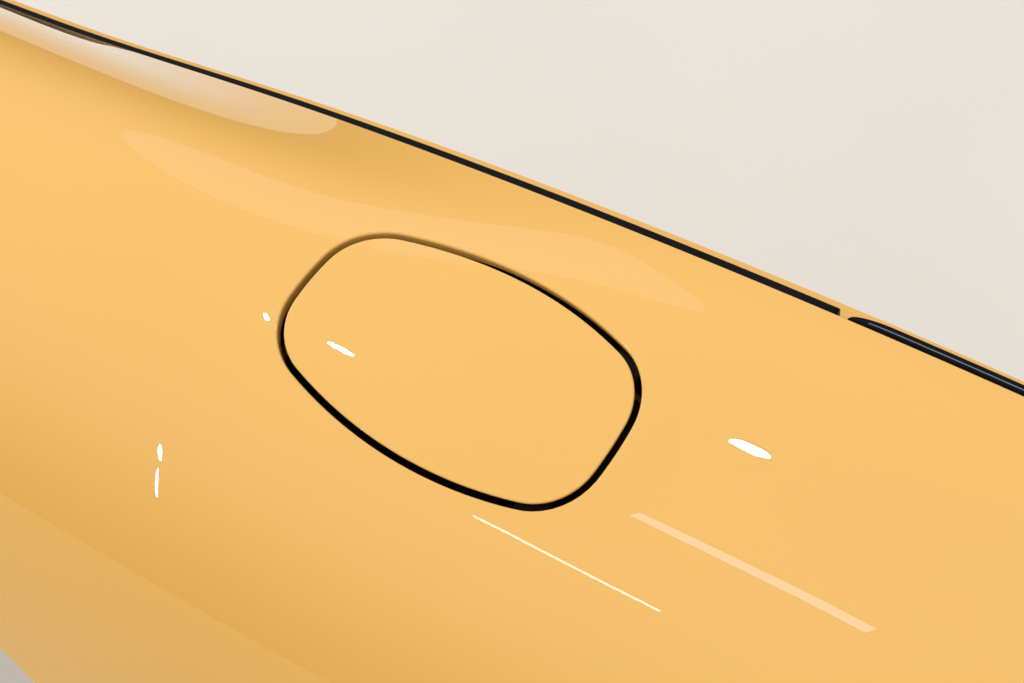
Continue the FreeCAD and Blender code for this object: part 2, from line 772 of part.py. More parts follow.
bracket_body = new_body("bracket_body", hinge_frame)
bracket_side = draw_outline(
    body_sketch(bracket_body, "bracket_side", "XY_Plane"),
    ((-26.0, -9.0), (6.0, -9.0), (6.0, 5.0), (-26.0, 5.0)),
)
pad(bracket_body, "bracket_pad", bracket_side, arm_width + 10, True)
bracket_gap = draw_outline(
    body_sketch(bracket_body, "bracket_gap", "XY_Plane"),
    ((-15.5, -12.0), (12.0, -12.0), (12.0, 8.0), (-15.5, 8.0)),
)
pocket(bracket_body, "bracket_slot", bracket_gap, arm_width + 5, True)
bracket_bore = draw_circle(body_sketch(bracket_body, "bracket_bore", "XY_Plane"), 0, 0, pin_radius)
pocket(bracket_body, "bracket_hole", bracket_bore, arm_width + 30, True)
bracket_inside = common("bracket_inside", bracket_body, pan_inner)
hinge_bracket = common("hinge_bracket", bracket_inside, under_skin)

# Flap: outer panel, stiffener, gooseneck arm and striker
stiff = size("flap_stiffener")
under_flap_depth = thickness + stiff
flap_skin = common("flap_skin", skin_sheet, flap_block)
flap_inner_sheet = feature("flap_inner_sheet", sheet_solid(thickness, under_flap_depth))
flap_inner_block = extrusion("flap_inner_block", outline("flap_inner_outline", -3.0), flap_out, ABOVE, BELOW)
flap_inner = common("flap_inner", flap_inner_sheet, flap_inner_block)
under_flap = feature("under_flap", inside_solid(under_flap_depth))

strap = size("hinge_arm_strap")
arm_drop, arm_reach = size("hinge_arm_drop"), size("hinge_arm_reach")
arm_body = new_body("arm_body", hinge_frame)
arm_side = draw_outline(
    body_sketch(arm_body, "arm_side", "XY_Plane"),
    (
        (strap * -0.5, 0.0), (strap * -0.5, -arm_drop), (arm_reach, -arm_drop), (arm_reach, 24.0),
        (arm_reach - strap, 24.0), (arm_reach - strap, strap - arm_drop), (strap * 0.5, strap - arm_drop),
        (strap * 0.5, 0.0),
    ),
)
pad(arm_body, "arm_strap", arm_side, arm_width, True)
arm_knuckle = draw_circle(body_sketch(arm_body, "arm_knuckle", "XY_Plane"), 0, 0, knuckle)
pad(arm_body, "arm_barrel", arm_knuckle, arm_width, True)
arm_bore = draw_circle(body_sketch(arm_body, "arm_bore", "XY_Plane"), 0, 0, pin_radius + 0.05)
pocket(arm_body, "arm_hole", arm_bore, arm_width + 4, True)
arm_clip = common("arm_clip", arm_body, under_flap)
pad_box = box(
    "pad_box", (arm_reach - strap, -12, -arm_half), (arm_reach + size("hinge_arm_pad"), 24, arm_half), hinge_frame
)
pad_sheet = feature("pad_sheet", sheet_solid(under_flap_depth, under_flap_depth + strap))
arm_pad = common("arm_pad", pad_sheet, pad_box)
hinge_arm = fuse("hinge_arm", arm_clip, arm_pad)

striker_a = 0.5 * size("flap_length").value - 16.0
striker_top = surface_height(striker_a, 0)
striker_width, striker_length = size("striker_width"), size("striker_length")
striker_frame = Place(in_flap(striker_a, 0, striker_top), Turn(flap_inboard, flap_out, flap_rear))
striker_body = new_body("striker_body", striker_frame)
striker_side = draw_outline(
    body_sketch(striker_body, "striker_side", "XY_Plane"),
    (
        (striker_width * -0.5, 8.0), (striker_width * -0.5, 5 - striker_length), (3 - striker_width * 0.5, -striker_length),
        (striker_width * 0.5 - 3, -striker_length), (striker_width * 0.5, 5 - striker_length), (striker_width * 0.5, 8.0),
    ),
)
pad(striker_body, "striker_pad", striker_side, 3.0, True)
striker_slot = draw_outline(
    body_sketch(striker_body, "striker_slot", "XY_Plane"),
    ((-4.0, 5 - striker_length), (4.0, 5 - striker_length), (4.0, 13 - striker_length), (-4.0, 13 - striker_length)),
)
pocket(striker_body, "striker_window", striker_slot, 12.0, True)
flap_striker = common("flap_striker", striker_body, under_flap)

# Latch housing on the rear wall of the bowl: a block the striker drops into
latch_body = new_body("latch_body", striker_frame)
latch_side = draw_outline(
    body_sketch(latch_body, "latch_side", "XY_Plane"),
    ((-17.0, -18.0), (-17.0, -52.0), (17.0, -52.0), (17.0, -18.0)),
)
pad(latch_body, "latch_pad", latch_side, 60.0, True)
latch_mouth = draw_outline(
    body_sketch(latch_body, "latch_mouth", "XY_Plane"),
    ((-11.0, -10.0), (-11.0, -44.0), (11.0, -44.0), (11.0, -10.0)),
)
pocket(latch_body, "latch_slot", latch_mouth, 8.0, True)
latch_clear = box("latch_clear", (-40, -70, -60), (40, 10, -8), striker_frame)
latch_front_cut = cut("latch_front_cut", latch_body, latch_clear)
latch_housing = common("latch_housing", latch_front_cut, pan_inner)

# Rubber buffers under the flap's rear corners, each on a shelf from the bowl wall
BUFFER_A, BUFFER_B = 68.0, 30.0
SHELF = 2.0
buffer_r, buffer_tall = size("buffer_radius"), size("buffer_height")
buffers = []
shelves = []
for name, side in (("outboard", -1), ("inboard", 1)):
    top = surface_height(BUFFER_A, side * BUFFER_B) - under_flap_depth.value - 1.0
    buffer_frame = flap_place(BUFFER_A, side * BUFFER_B, top - buffer_tall.value)
    buffers.append(turned(
        "buffer_" + name, buffer_frame,
        (
            (0.0, 0.0), (buffer_r + 1, 0.0), (buffer_r + 1, 2.0), (buffer_r, 3.0), (buffer_r, buffer_tall - 2),
            (buffer_r - 2, buffer_tall), (0.0, buffer_tall),
        ),
    ))
    low_b, high_b = (-40.0, 8.0) if side < 0 else (-8.0, 40.0)
    shelf = box("shelf_%s_blank" % name, (-8.0, low_b, -SHELF), (8.0, high_b, 0.0), buffer_frame)
    shelves.append(common("buffer_shelf_" + name, shelf, pan_inner))

# Filler cap: a round cap on the neck with a grip bar across its top and grooves round its rim
cap_radius, cap_height = size("cap_radius"), size("cap_height")
cap_skirt = size("cap_skirt")
RUNNING_FIT = 0.1
cap_base = neck_rise.value - bowl_deep.value - cap_skirt.value + RUNNING_FIT
cap_frame = flap_place(NECK_A, 0, cap_base)
filler_cap = turned(
    "filler_cap", cap_frame,
    (
        (0.0, cap_skirt), (neck_r + RUNNING_FIT, cap_skirt), (neck_r + RUNNING_FIT, 0.0), (cap_radius - 1, 0.0),
        (cap_radius, 1.0), (cap_radius, cap_height - 3), (cap_radius - 3, cap_height), (0.0, cap_height),
    ),
)
grip = draw_outline(
    body_sketch(filler_cap, "cap_grip_outline", "XY_Plane"),
    (
        (size("cap_grip_width") * -0.5, 8 - cap_radius), (size("cap_grip_width") * 0.5, 8 - cap_radius),
        (size("cap_grip_width") * 0.5, cap_radius - 8), (size("cap_grip_width") * -0.5, cap_radius - 8),
    ),
)
grip_pad = pad(filler_cap, "cap_grip", grip, cap_height + size("cap_grip_height"))
grip_core = draw_circle(body_sketch(filler_cap, "cap_core", "XY_Plane"), 0, 0, neck_r + RUNNING_FIT)
grip_hollow = pocket(filler_cap, "cap_hollow", grip_core, cap_skirt)
grip_hollow.Reversed = True
groove = draw_circle(body_sketch(filler_cap, "cap_groove_outline", "XY_Plane"), cap_radius + 1.2, 0, 2.6)
groove_cut = pocket(filler_cap, "cap_groove", groove, cap_height - 5)
groove_cut.Reversed = True
GROOVES = 16
grooves = filler_cap.newObject("PartDesign::PolarPattern", "cap_grooves")
grooves.Originals = [groove_cut]
grooves.Axis = (groove, ["N_Axis"])
grooves.Angle = 360.0
grooves.Occurrences = GROOVES
filler_cap.Tip = grooves

# Cowl seal: a rubber strip along the top edge behind the bonnet corner
seal_curve = OUTER.vIso(GIRTH_KNOTS[0])
seal_curve.segment(share_of(-size("seal_length").value), STATION_KNOTS[-1])
seal_in, seal_up = size("seal_width"), size("seal_height")
seal_corners = (
    (0.0, 1 - seal_up), (seal_in, 1 - seal_up), (seal_in, 0.2), (seal_in - 2, 1.6), (1.5, 1.6), (0.0, 0.2),
)
cowl_seal = feature("cowl_seal", carried(seal_curve, seal_corners))

NODES = (
    ("wing_skin", wing_skin),
    ("arch_lip", arch_lip),
    ("arch_liner", arch_liner),
    ("bonnet_rail", bonnet_rail),
    ("rear_flange", rear_flange),
    ("sill_flange", sill_flange),
    ("lamp_panel", lamp_panel),
    ("lamp_ring", lamp_ring),
    ("headlamp_bowl", headlamp_bowl),
    ("flap_rebate", flap_rebate),
    ("filler_bowl", filler_bowl),
    ("filler_neck", filler_neck),
    ("neck_grommet", neck_grommet),
    ("drain_spout", drain_spout),
    ("hinge_bracket", hinge_bracket),
    ("hinge_pin", hinge_pin),
    ("latch_housing", latch_housing),
    ("buffer_outboard", buffers[0]),
    ("buffer_inboard", buffers[1]),
    ("buffer_shelf_outboard", shelves[0]),
    ("buffer_shelf_inboard", shelves[1]),
    ("cowl_seal", cowl_seal),
    ("flap_skin", flap_skin),
    ("flap_inner", flap_inner),
    ("hinge_arm", hinge_arm),
    ("flap_striker", flap_striker),
    ("filler_cap", filler_cap),
)

doc.recompute()
for item in doc.Objects:
    bad = [state for state in item.State if state in ("Invalid", "Error")]
    if bad:
        raise RuntimeError("%s is %s" % (item.Name, bad))

for node, item in NODES:
    shape = item.Shape
    if shape.isNull() or not shape.isValid() or len(shape.Solids) != 1:
        raise RuntimeError("%s is not one sound solid" % node)
for node, item in NODES:
    item.Label = node
    item.Shape.exportStep("parts/%s.step" % node)
    print(node, "volume cm3", round(item.Shape.Volume / 1000, 2))


def show(title, *vectors):
    print(title, [round(c, 9) for vector in vectors for c in vector])


for name, (centre, axis, pitch) in rail_mounts.items():
    show(name, centre, axis, (pitch,))
show("hinge", hinge_point, flap_inboard)
show("flap centre", flap_centre, flap_rear)
show("flap out", flap_out)
show("neck end", in_flap(NECK_A, 0, -bowl_deep - neck_fall))
show("cap base", in_flap(NECK_A, 0, cap_base))
show("bowl space", in_flap(-62, 0, -53))
show("sill holes", *sill_points)
show("lamp", lamp_centre, lamp_out)
show("bonnet edge", edge_curve.value(STATION_KNOTS[0]), edge_curve.value(STATION_KNOTS[-1]))
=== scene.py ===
"""Looks of a left front wing with its hinged fuel filler flap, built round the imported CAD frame.

Lengths are metres in the frame of the CAD: X rearwards, Y inboard, Z up, with the origin at the rear flange.
"""

import bpy
import json
import math
import numpy as np
from mathutils import Matrix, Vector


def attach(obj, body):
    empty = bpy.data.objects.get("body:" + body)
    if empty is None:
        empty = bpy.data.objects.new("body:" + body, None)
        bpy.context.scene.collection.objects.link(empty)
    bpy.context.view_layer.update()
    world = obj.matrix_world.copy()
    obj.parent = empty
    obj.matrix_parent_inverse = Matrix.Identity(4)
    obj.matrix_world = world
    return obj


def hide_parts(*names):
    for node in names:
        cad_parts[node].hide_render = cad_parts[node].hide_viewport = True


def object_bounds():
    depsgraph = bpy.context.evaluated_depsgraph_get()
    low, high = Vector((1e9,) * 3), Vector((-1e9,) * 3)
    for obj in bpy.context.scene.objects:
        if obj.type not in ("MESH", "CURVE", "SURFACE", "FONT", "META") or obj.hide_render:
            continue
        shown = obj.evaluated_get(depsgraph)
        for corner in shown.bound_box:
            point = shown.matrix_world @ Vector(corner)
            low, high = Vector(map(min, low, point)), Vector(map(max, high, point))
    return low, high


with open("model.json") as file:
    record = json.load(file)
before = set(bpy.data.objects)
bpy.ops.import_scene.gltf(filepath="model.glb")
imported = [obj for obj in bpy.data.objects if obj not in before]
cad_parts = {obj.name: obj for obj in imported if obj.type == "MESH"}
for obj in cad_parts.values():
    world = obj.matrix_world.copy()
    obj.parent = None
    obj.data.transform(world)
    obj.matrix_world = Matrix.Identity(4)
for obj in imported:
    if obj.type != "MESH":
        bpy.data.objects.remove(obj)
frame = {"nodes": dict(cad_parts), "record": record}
cad_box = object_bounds()

MM = 0.001
WING_LENGTH, WING_WIDTH, WING_HEIGHT = 1.340, 0.372, 0.660
DEGREE = 3

# The outer surface's control net: stations front to rear, and y, z pairs in mm from inner top edge to sill
NET = np.array([
    (322.0, 104.0, 322.0, 190.0, 204.0, 330.0, 88.0, 268.0, 72.0, 166.0, 80.0, 60.0, 92.0, -20.8),
    (346.0, 140.0, 326.0, 208.0, 204.0, 366.0, 62.0, 297.0, 30.0, 168.0, 40.0, 0.9, 62.0, -100.6),
    (361.7, 202.3, 315.1, 239.9, 208.5, 395.2, 38.1, 324.6, -25.3, 171.9, -6.4, -61.5, 22.9, -184.4),
    (322.0, 251.3, 273.0, 297.0, 211.1, 404.8, 33.0, 341.9, -52.5, 175.8, -23.3, -100.3, -2.7, -239.4),
    (277.6, 324.2, 235.4, 341.8, 197.7, 388.1, 35.0, 331.9, -54.8, 160.8, -22.0, -107.5, -5.9, -252.1),
    (240.6, 381.4, 200.7, 381.2, 169.5, 362.8, 31.1, 304.3, -51.3, 139.2, -19.9, -103.0, -4.8, -253.1),
    (221.2, 404.3, 181.4, 398.2, 153.1, 366.7, 29.0, 306.7, -47.3, 147.2, -18.9, -94.0, -4.6, -251.6),
    (213.2, 408.0, 170.1, 403.9, 146.5, 380.5, 28.8, 319.3, -44.3, 165.1, -18.2, -86.6, -4.9, -250.1),
])
ENDS = DEGREE + 1
STATION_KNOTS = np.array([0.0] * ENDS + [0.28358, 0.43284, 0.58209, 0.72637] + [1.0] * ENDS)
GIRTH_KNOTS = np.array([0.0] * ENDS + [0.25333, 0.43, 0.61667] + [1.0] * ENDS)


TINY = 1e-12


def unit(vectors):
    """Vectors divided by their lengths; null vectors stay null."""
    return vectors / np.maximum(np.linalg.norm(vectors, axis=-1, keepdims=True), TINY)


def circle(turns):
    """Rows of cosine and sine of some angles."""
    return np.stack([np.cos(turns), np.sin(turns)], axis=1)


def basis(knots, at, degree):
    """B-spline basis by the Cox-de Boor recursion: one column for each pole, one row for each place."""
    at = np.clip(np.asarray(at, float), 0.0, 1.0 - TINY)[..., None]
    rows = ((at >= knots[:-1]) & (at < knots[1:])).astype(float)
    for step in range(1, degree + 1):
        spans = knots[step:] - knots[:-step]
        rising = np.where(spans > 0, (at - knots[:-step]) / np.where(spans > 0, spans, 1), 0)
        falling = np.where(spans > 0, 1 - rising, 0)
        rows = rising[..., :-1] * rows[..., :-1] + falling[..., 1:] * rows[..., 1:]
    return rows


def slopes(knots, at):
    """Slope of each cubic basis function: 3 times the difference of neighbouring quadratics over their spans."""
    spans = knots[DEGREE:] - knots[:-DEGREE]
    scaled = DEGREE * basis(knots, at, DEGREE - 1) / np.where(spans > 0, spans, 1)
    return scaled[..., :-1] - scaled[..., 1:]


POLE_X = np.array([STATION_KNOTS[i + 1:i + 1 + DEGREE].mean() for i in range(len(NET))]) - 1.0
POLES = np.stack([
    np.repeat(POLE_X[:, None] * WING_LENGTH, NET.shape[1] // 2, axis=1), NET[:, 0::2] * MM, NET[:, 1::2] * MM,
], axis=-1)


def wing_surface(u, v):
    """Point, outward unit normal and the two slopes of the wing: the sum of poles weighted by the two bases, and
    the cross product of the slopes along and across."""
    bu, bv = basis(STATION_KNOTS, u, DEGREE), basis(GIRTH_KNOTS, v, DEGREE)
    du, dv = slopes(STATION_KNOTS, u), slopes(GIRTH_KNOTS, v)
    point = np.einsum("...i,...j,ijk->...k", bu, bv, POLES)
    along = np.einsum("...i,...j,ijk->...k", du, bv, POLES)
    across = np.einsum("...i,...j,ijk->...k", bu, dv, POLES)
    return point, unit(np.cross(across, along)), along, across


def halve(test, low, high, rounds=44):
    """Bisection on whole arrays: keeps the half where test changes from false to true."""
    low, high = np.array(low, float), np.array(high, float)
    for _ in range(rounds):
        middle = (low + high) / 2
        past = test(middle)
        high = np.where(past, middle, high)
        low = np.where(past, low, middle)
    return (low + high) / 2


# Flap frame: centre on the surface, a towards the rear, b inboard, n out of the surface
FLAP_X, FLAP_Y = -0.25149 * WING_LENGTH, 0.37140 * WING_WIDTH
FLAP_TURN = math.radians(-4.1)
FLAP_A, FLAP_B, FLAP_CORNER, FLAP_GAP = 0.09075, 0.0528, 0.033, 0.0034
SIDE_SWEEP, END_SWEEP = math.radians(16.9), math.radians(4.2)
WELL_DOWN_THE_SIDE = 0.7
flap_u = 1.0 + FLAP_X / WING_LENGTH
flap_v = float(halve(lambda v: wing_surface(flap_u, v)[0][..., 1] < FLAP_Y, 0.0, WELL_DOWN_THE_SIDE))
flap_centre, flap_out, _, _ = wing_surface(flap_u, flap_v)
level_rear = unit(np.array([1.0, 0.0, 0.0]) - flap_out * flap_out[0])
flap_rear = level_rear * math.cos(FLAP_TURN) + np.cross(flap_out, level_rear) * math.sin(FLAP_TURN)
flap_inboard = np.cross(flap_out, flap_rear)


def even_turns(count):
    """Angles of so many even places on a circle."""
    return np.arange(count) * (2 * math.pi / count)


def in_flap(a, b, n):
    """Point of the part's frame from flap coordinates."""
    a, b, n = (np.asarray(q, float)[..., None] for q in (a, b, n))
    return flap_centre + a * flap_rear + b * flap_inboard + n * flap_out


ARC_POINTS, QUARTER = 400, math.pi / 2


def flap_outline(grow, places):
    """Eight arcs, tangent to each other, sampled finely and then read off at angles of a / A and b / B. places is
    an array of such angles, or a number of even ones."""
    ca, sa, ce, se = math.cos(SIDE_SWEEP), math.sin(SIDE_SWEEP), math.cos(END_SWEEP), math.sin(END_SWEEP)
    along = FLAP_A - FLAP_CORNER * (ce - sa)
    across = FLAP_B - FLAP_CORNER * (ca - se)
    whole = sa * se - (1 - ce) * (1 - ca)
    side = (along * se - (1 - ce) * across) / whole
    end = (sa * across - (1 - ca) * along) / whole
    corner_a, corner_b = (side - FLAP_CORNER) * sa, FLAP_B - side + (side - FLAP_CORNER) * ca
    arcs = (
        (FLAP_A - end, 0.0, end, 0.0, END_SWEEP),
        (corner_a, corner_b, FLAP_CORNER, END_SWEEP, QUARTER - SIDE_SWEEP),
        (0.0, FLAP_B - side, side, QUARTER - SIDE_SWEEP, QUARTER),
    )
    quarter = np.concatenate([
        np.array([x, y]) + (radius + grow) * circle(np.linspace(start, stop, ARC_POINTS))
        for x, y, radius, start, stop in arcs
    ])
    half = np.concatenate([quarter, quarter[::-1] * (-1, 1)])
    whole_line = np.concatenate([half, -half])
    angle = np.unwrap(np.arctan2(whole_line[:, 1] / FLAP_B, whole_line[:, 0] / FLAP_A))
    angle, first = np.unique(np.round(angle, 9), return_index=True)
    line = whole_line[first]
    whole_turn = 2 * math.pi
    wanted = np.mod(places, whole_turn) if isinstance(places, np.ndarray) else even_turns(places)
    a = np.interp(wanted, angle, line[:, 0], period=whole_turn)
    b = np.interp(wanted, angle, line[:, 1], period=whole_turn)
    return a, b


NEWTON_STEPS = 8


def drop_on_wing(a, b):
    """Surface parameters under a point of the flap's plane, by Newton steps on the two in-plane offsets."""
    u, v = np.full(np.shape(a), flap_u), np.full(np.shape(a), flap_v)
    for _ in range(NEWTON_STEPS):
        point, _, along, across = wing_surface(u, v)
        off = point - flap_centre
        miss_a, miss_b = a - off @ flap_rear, b - off @ flap_inboard
        m11, m12 = along @ flap_rear, across @ flap_rear
        m21, m22 = along @ flap_inboard, across @ flap_inboard
        det = m11 * m22 - m12 * m21
        u = u + (m22 * miss_a - m12 * miss_b) / det
        v = v + (m11 * miss_b - m21 * miss_a) / det
    return u, v


# Meshes from patches: grids of points with normals, whose matching borders are joined
def patch(points, normals, closed=False, flip=False, finish=0):
    """One grid of points, with quads between neighbouring rows and columns."""
    return {"points": points, "normals": normals, "closed": closed, "flip": flip, "finish": finish}


def build(name, patches, finishes, body):
    """One smooth mesh object with its own normals, from patches joined where their points are the same."""
    points, normals, quads, finish, start = [], [], [], [], 0
    for item in patches:
        rows, columns = item["points"].shape[:2]
        index = start + np.arange(rows * columns).reshape(rows, columns)
        if item["closed"]:
            index = np.concatenate([index, index[:, :1]], axis=1)
        corners = np.stack([index[:-1, :-1], index[1:, :-1], index[1:, 1:], index[:-1, 1:]], axis=-1).reshape(-1, 4)
        if item["flip"]:
            corners = corners[:, ::-1]
        points.append(item["points"].reshape(-1, 3))
        normals.append(item["normals"].reshape(-1, 3))
        quads.append(corners)
        finish.append(np.full(len(corners), item["finish"]))
        start += rows * columns
    points, normals = np.concatenate(points), np.concatenate(normals)
    quads, finish = np.concatenate(quads), np.concatenate(finish)
    _, first, where = np.unique(np.round(points, 7), axis=0, return_index=True, return_inverse=True)
    where = where.reshape(-1)
    summed = np.zeros((len(first), 3))
    np.add.at(summed, where, normals)
    points, quads = points[first], where[quads]
    same = quads == np.roll(quads, -1, axis=1)
    whole, three = same.sum(axis=1) == 0, same.sum(axis=1) == 1
    triangles = quads[three][~same[three]].reshape(-1, 3)
    mesh = bpy.data.meshes.new(name)
    mesh.from_pydata(points.tolist(), [], quads[whole].tolist() + triangles.tolist())
    order = np.concatenate([finish[whole], finish[three]]).astype(np.int32)
    for material in finishes:
        mesh.materials.append(material)
    mesh.polygons.foreach_set("material_index", order)
    mesh.polygons.foreach_set("use_smooth", np.ones(len(order), dtype=bool))
    mesh.update()
    mesh.normals_split_custom_set_from_vertices(unit(summed).tolist())
    piece = bpy.data.objects.new(name, mesh)
    bpy.context.scene.collection.objects.link(piece)
    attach(piece, body)
    return piece


def bend(out, down, radius, start, stop, steps):
    """Rows of (out, down, normal turn) round a centre: radius times the turn's sine outwards and less its cosine."""
    turns = np.linspace(start, stop, steps)
    return [(out + radius * math.sin(turn), down - radius * math.cos(turn), turn) for turn in turns]


FOLD_STEPS, TIP_STEPS = 5, 4


def fold_profile(radius, depth, sheet):
    """Section of a folded edge as (out, down, normal turn): an arc, a wall, a round tip, and the arc's inside.
    radius and depth may be arrays with one value for each place on the edge."""
    radius, depth = np.broadcast_arrays(np.asarray(radius, float), np.asarray(depth, float))
    rows = bend(-radius, radius, radius, 0, QUARTER, FOLD_STEPS)
    rows += bend(-sheet / 2, depth, sheet / 2, QUARTER, 3 * QUARTER, FOLD_STEPS)
    inside = bend(-radius, radius, radius - sheet, QUARTER, 0, FOLD_STEPS)
    rows += [(*row, math.pi + turn) for *row, turn in inside]
    out = np.stack([np.broadcast_to(row[0], radius.shape) for row in rows])
    down = np.stack([np.broadcast_to(row[1], radius.shape) for row in rows])
    return out, down, np.array([row[2] for row in rows])


def fold_rows(points, normals, beyond, profile):
    """Carries a folded edge round a loop: each row is the loop moved along beyond and against the normal."""
    out, down, turn = profile
    if out.ndim == 1:
        out, down = out[:, None], down[:, None]
    rows = points + out[..., None] * beyond - down[..., None] * normals
    facing = np.sin(turn)[:, None, None] * unit(beyond) + np.cos(turn)[:, None, None] * normals
    return rows, facing


def loop_beyond(points, normals, side):
    """Mitred direction across a closed loop in the sheet: the two neighbouring edges' cross directions added
    and scaled so that an offset keeps its width round corners. side is 1 for a hole, -1 for the outer border."""
    ahead = unit(np.roll(points, -1, axis=0) - points)
    one = side * unit(np.cross(normals, np.roll(ahead, 1, axis=0)))
    two = side * unit(np.cross(normals, ahead))
    return (one + two) / (1 + np.sum(one * two, axis=1, keepdims=True))


# Turned and stacked pieces
SHORT_SIDE_SHARE = 0.45
OFF_AXIS = 1.0


def rounded(corners, radius, steps=4, closed=True):
    """A line of corners with each corner replaced by an arc: points and right-hand normals. The arc touches both
    sides at radius * tan(half the turn) from the corner, or less where a side is short."""
    corners = np.array(corners, float)
    radius = np.broadcast_to(np.asarray(radius, float), len(corners))
    sides = np.roll(corners, -1, axis=0) - corners
    lengths, sides = np.linalg.norm(sides, axis=1), unit(sides)
    points, normals = [], []
    for index in range(len(corners)):
        one, two = sides[index - 1], sides[index]
        if not closed and index in (0, len(corners) - 1):
            side = one if index else two
            points.append(corners[index][None, :])
            normals.append(np.array([[side[1], -side[0]]]))
            continue
        start, stop = math.atan2(-one[0], one[1]), math.atan2(-two[0], two[1])
        turn = (stop - start + math.pi) % (2 * math.pi) - math.pi
        tangent = abs(math.tan(turn / 2))
        reach = min(radius[index] * tangent, SHORT_SIDE_SHARE * min(lengths[index - 1], lengths[index]))
        curve = reach / max(tangent, TINY) * (1 if turn > 0 else -1)
        facing = circle(start + turn * np.linspace(0, 1, steps + 1))
        middle = corners[index] - one * reach - curve * facing[0]
        points.append(middle + curve * facing)
        normals.append(facing)
    return np.concatenate(points), np.concatenate(normals)


def frame_of(origin, axis, towards):
    """Three unit axes: the first nearest to towards, the second across, the third along axis."""
    axis = unit(np.array(axis, float))
    first = unit(np.array(towards, float) - axis * (np.array(towards, float) @ axis))
    return np.array(origin, float), np.stack([first, np.cross(axis, first), axis])


def turned(corners, radius, place, count, closed=True, steps=4, ripple=None):
    """A section of (radius, height) in millimetres turned round an axis. ripple(angle, radius, height) is added to
    the radius, and then the normals come from the grid, but for its rows on the axis."""
    section, facing = rounded(corners, radius, steps, closed)
    if closed:
        section, facing = np.concatenate([section, section[:1]]), np.concatenate([facing, facing[:1]])
    angle = even_turns(count)
    out = np.repeat(section[:, :1], count, axis=1)
    if ripple:
        out = out + ripple(angle[None, :], out, section[:, 1:])
    origin, axes = place
    around = circle(angle) @ axes[:2]
    points = origin + MM * (out[..., None] * around + section[:, 1][:, None, None] * axes[2])
    normals = facing[:, :1, None] * around + facing[:, 1][:, None, None] * axes[2]
    if ripple:
        normals = np.where(out[..., None] > OFF_AXIS, grid_normals(points), normals)
    return patch(points, normals, closed=True, flip=True)


def grid_normals(points):
    """Normals of a grid closed across, from the cross product of its two central differences."""
    across = np.roll(points, -1, axis=1) - np.roll(points, 1, axis=1)
    return unit(np.cross(across, np.gradient(points, axis=0)))


def stacked(line, facing, section, place):
    """A closed line carried up a section of (growth, height, turn) in millimetres, and closed at both ends."""
    origin, axes = place
    out, up, turn = (np.array(section, float)[:, k][:, None, None] for k in range(3))
    flat = line[None, :, :] + out * facing[None, :, :]
    points = origin + MM * (flat @ axes[:2] + up * axes[2])
    normals = np.cos(turn) * (facing @ axes[:2])[None, :, :] + np.sin(turn) * axes[2]
    for end in (0, -1):
        middle = origin + MM * up[end, 0, 0] * axes[2] + MM * line.mean(axis=0) @ axes[:2]
        row = points[:1].shape
        centre = np.broadcast_to(middle, row)
        outwards = np.broadcast_to(axes[2] if end else -axes[2], row)
        points = np.concatenate([points, centre] if end else [centre, points])
        normals = np.concatenate([normals, outwards] if end else [outwards, normals])
    return patch(points, normals, closed=True, flip=True)


def stadium(half_length, half_width, steps):
    """Two half circles joined by straight sides, counter-clockwise."""
    facing = circle(np.radians(np.concatenate([np.linspace(-90, 90, steps), np.linspace(90, 270, steps)])))
    ends = np.repeat([half_length - half_width, half_width - half_length], steps)
    return np.stack([ends, 0 * ends], axis=1) + half_width * facing, facing


def rounded_top(height, radius, base, steps=4):
    """Section of a wall from base to height with a quarter-round top edge, as (growth, height, turn)."""
    rows = [(0.0, base, 0.0)]
    for turn in np.linspace(0, QUARTER, steps + 1):
        rows.append((radius * (math.cos(turn) - 1), height - radius + radius * math.sin(turn), turn))
    return rows


def hex_bolt(place, across, tall, washer):
    """A flanged hexagon bolt head: a washer 1.2 mm thick with a rounded edge, and a hexagon with a rounded top."""
    collar = turned(((0, 0), (washer, 0), (washer, 1.2), (0, 1.6)), (0.1, 0.3, 0.5, 0.1), place, 40, closed=False)
    line, facing = rounded(across / math.sqrt(3) * circle(even_turns(6) + math.pi / 6), 0.4, 3)
    return [collar, stacked(line, facing, rounded_top(tall, 0.8, 1.0), place)]


# Materials
def linear(code):
    """sRGB hex to linear RGBA."""
    part = np.array([int(code[i:i + 2], 16) for i in (1, 3, 5)]) / 255
    part = np.where(part <= 0.04045, part / 12.92, ((part + 0.055) / 1.055) ** 2.4)
    return (*part.tolist(), 1.0)


def node(tree, kind, values=None, links=None):
    """Adds one node, sets its sockets or properties, and links its sockets to (node, output) pairs."""
    made = tree.nodes.new(kind)
    for name, value in (values or {}).items():
        if isinstance(name, int) or name in made.inputs:
            made.inputs[name].default_value = value
        else:
            setattr(made, name, value)
    for name, (source, output) in (links or {}).items():
        tree.links.new(source.outputs[output], made.inputs[name])
    return made


def ramp(tree, source, places, colours):
    """A ramp between two sRGB colours at two places of its range, fed by a (node, output) pair."""
    made = node(tree, "ShaderNodeValToRGB", {}, {"Fac": source})
    for element, place, colour in zip(made.color_ramp.elements, places, colours):
        element.position, element.color = place, linear(colour)
    return made


# Shares of the noise between which a finish goes over from its first tint to its second
TINT_SHARES = (0.35, 0.65)


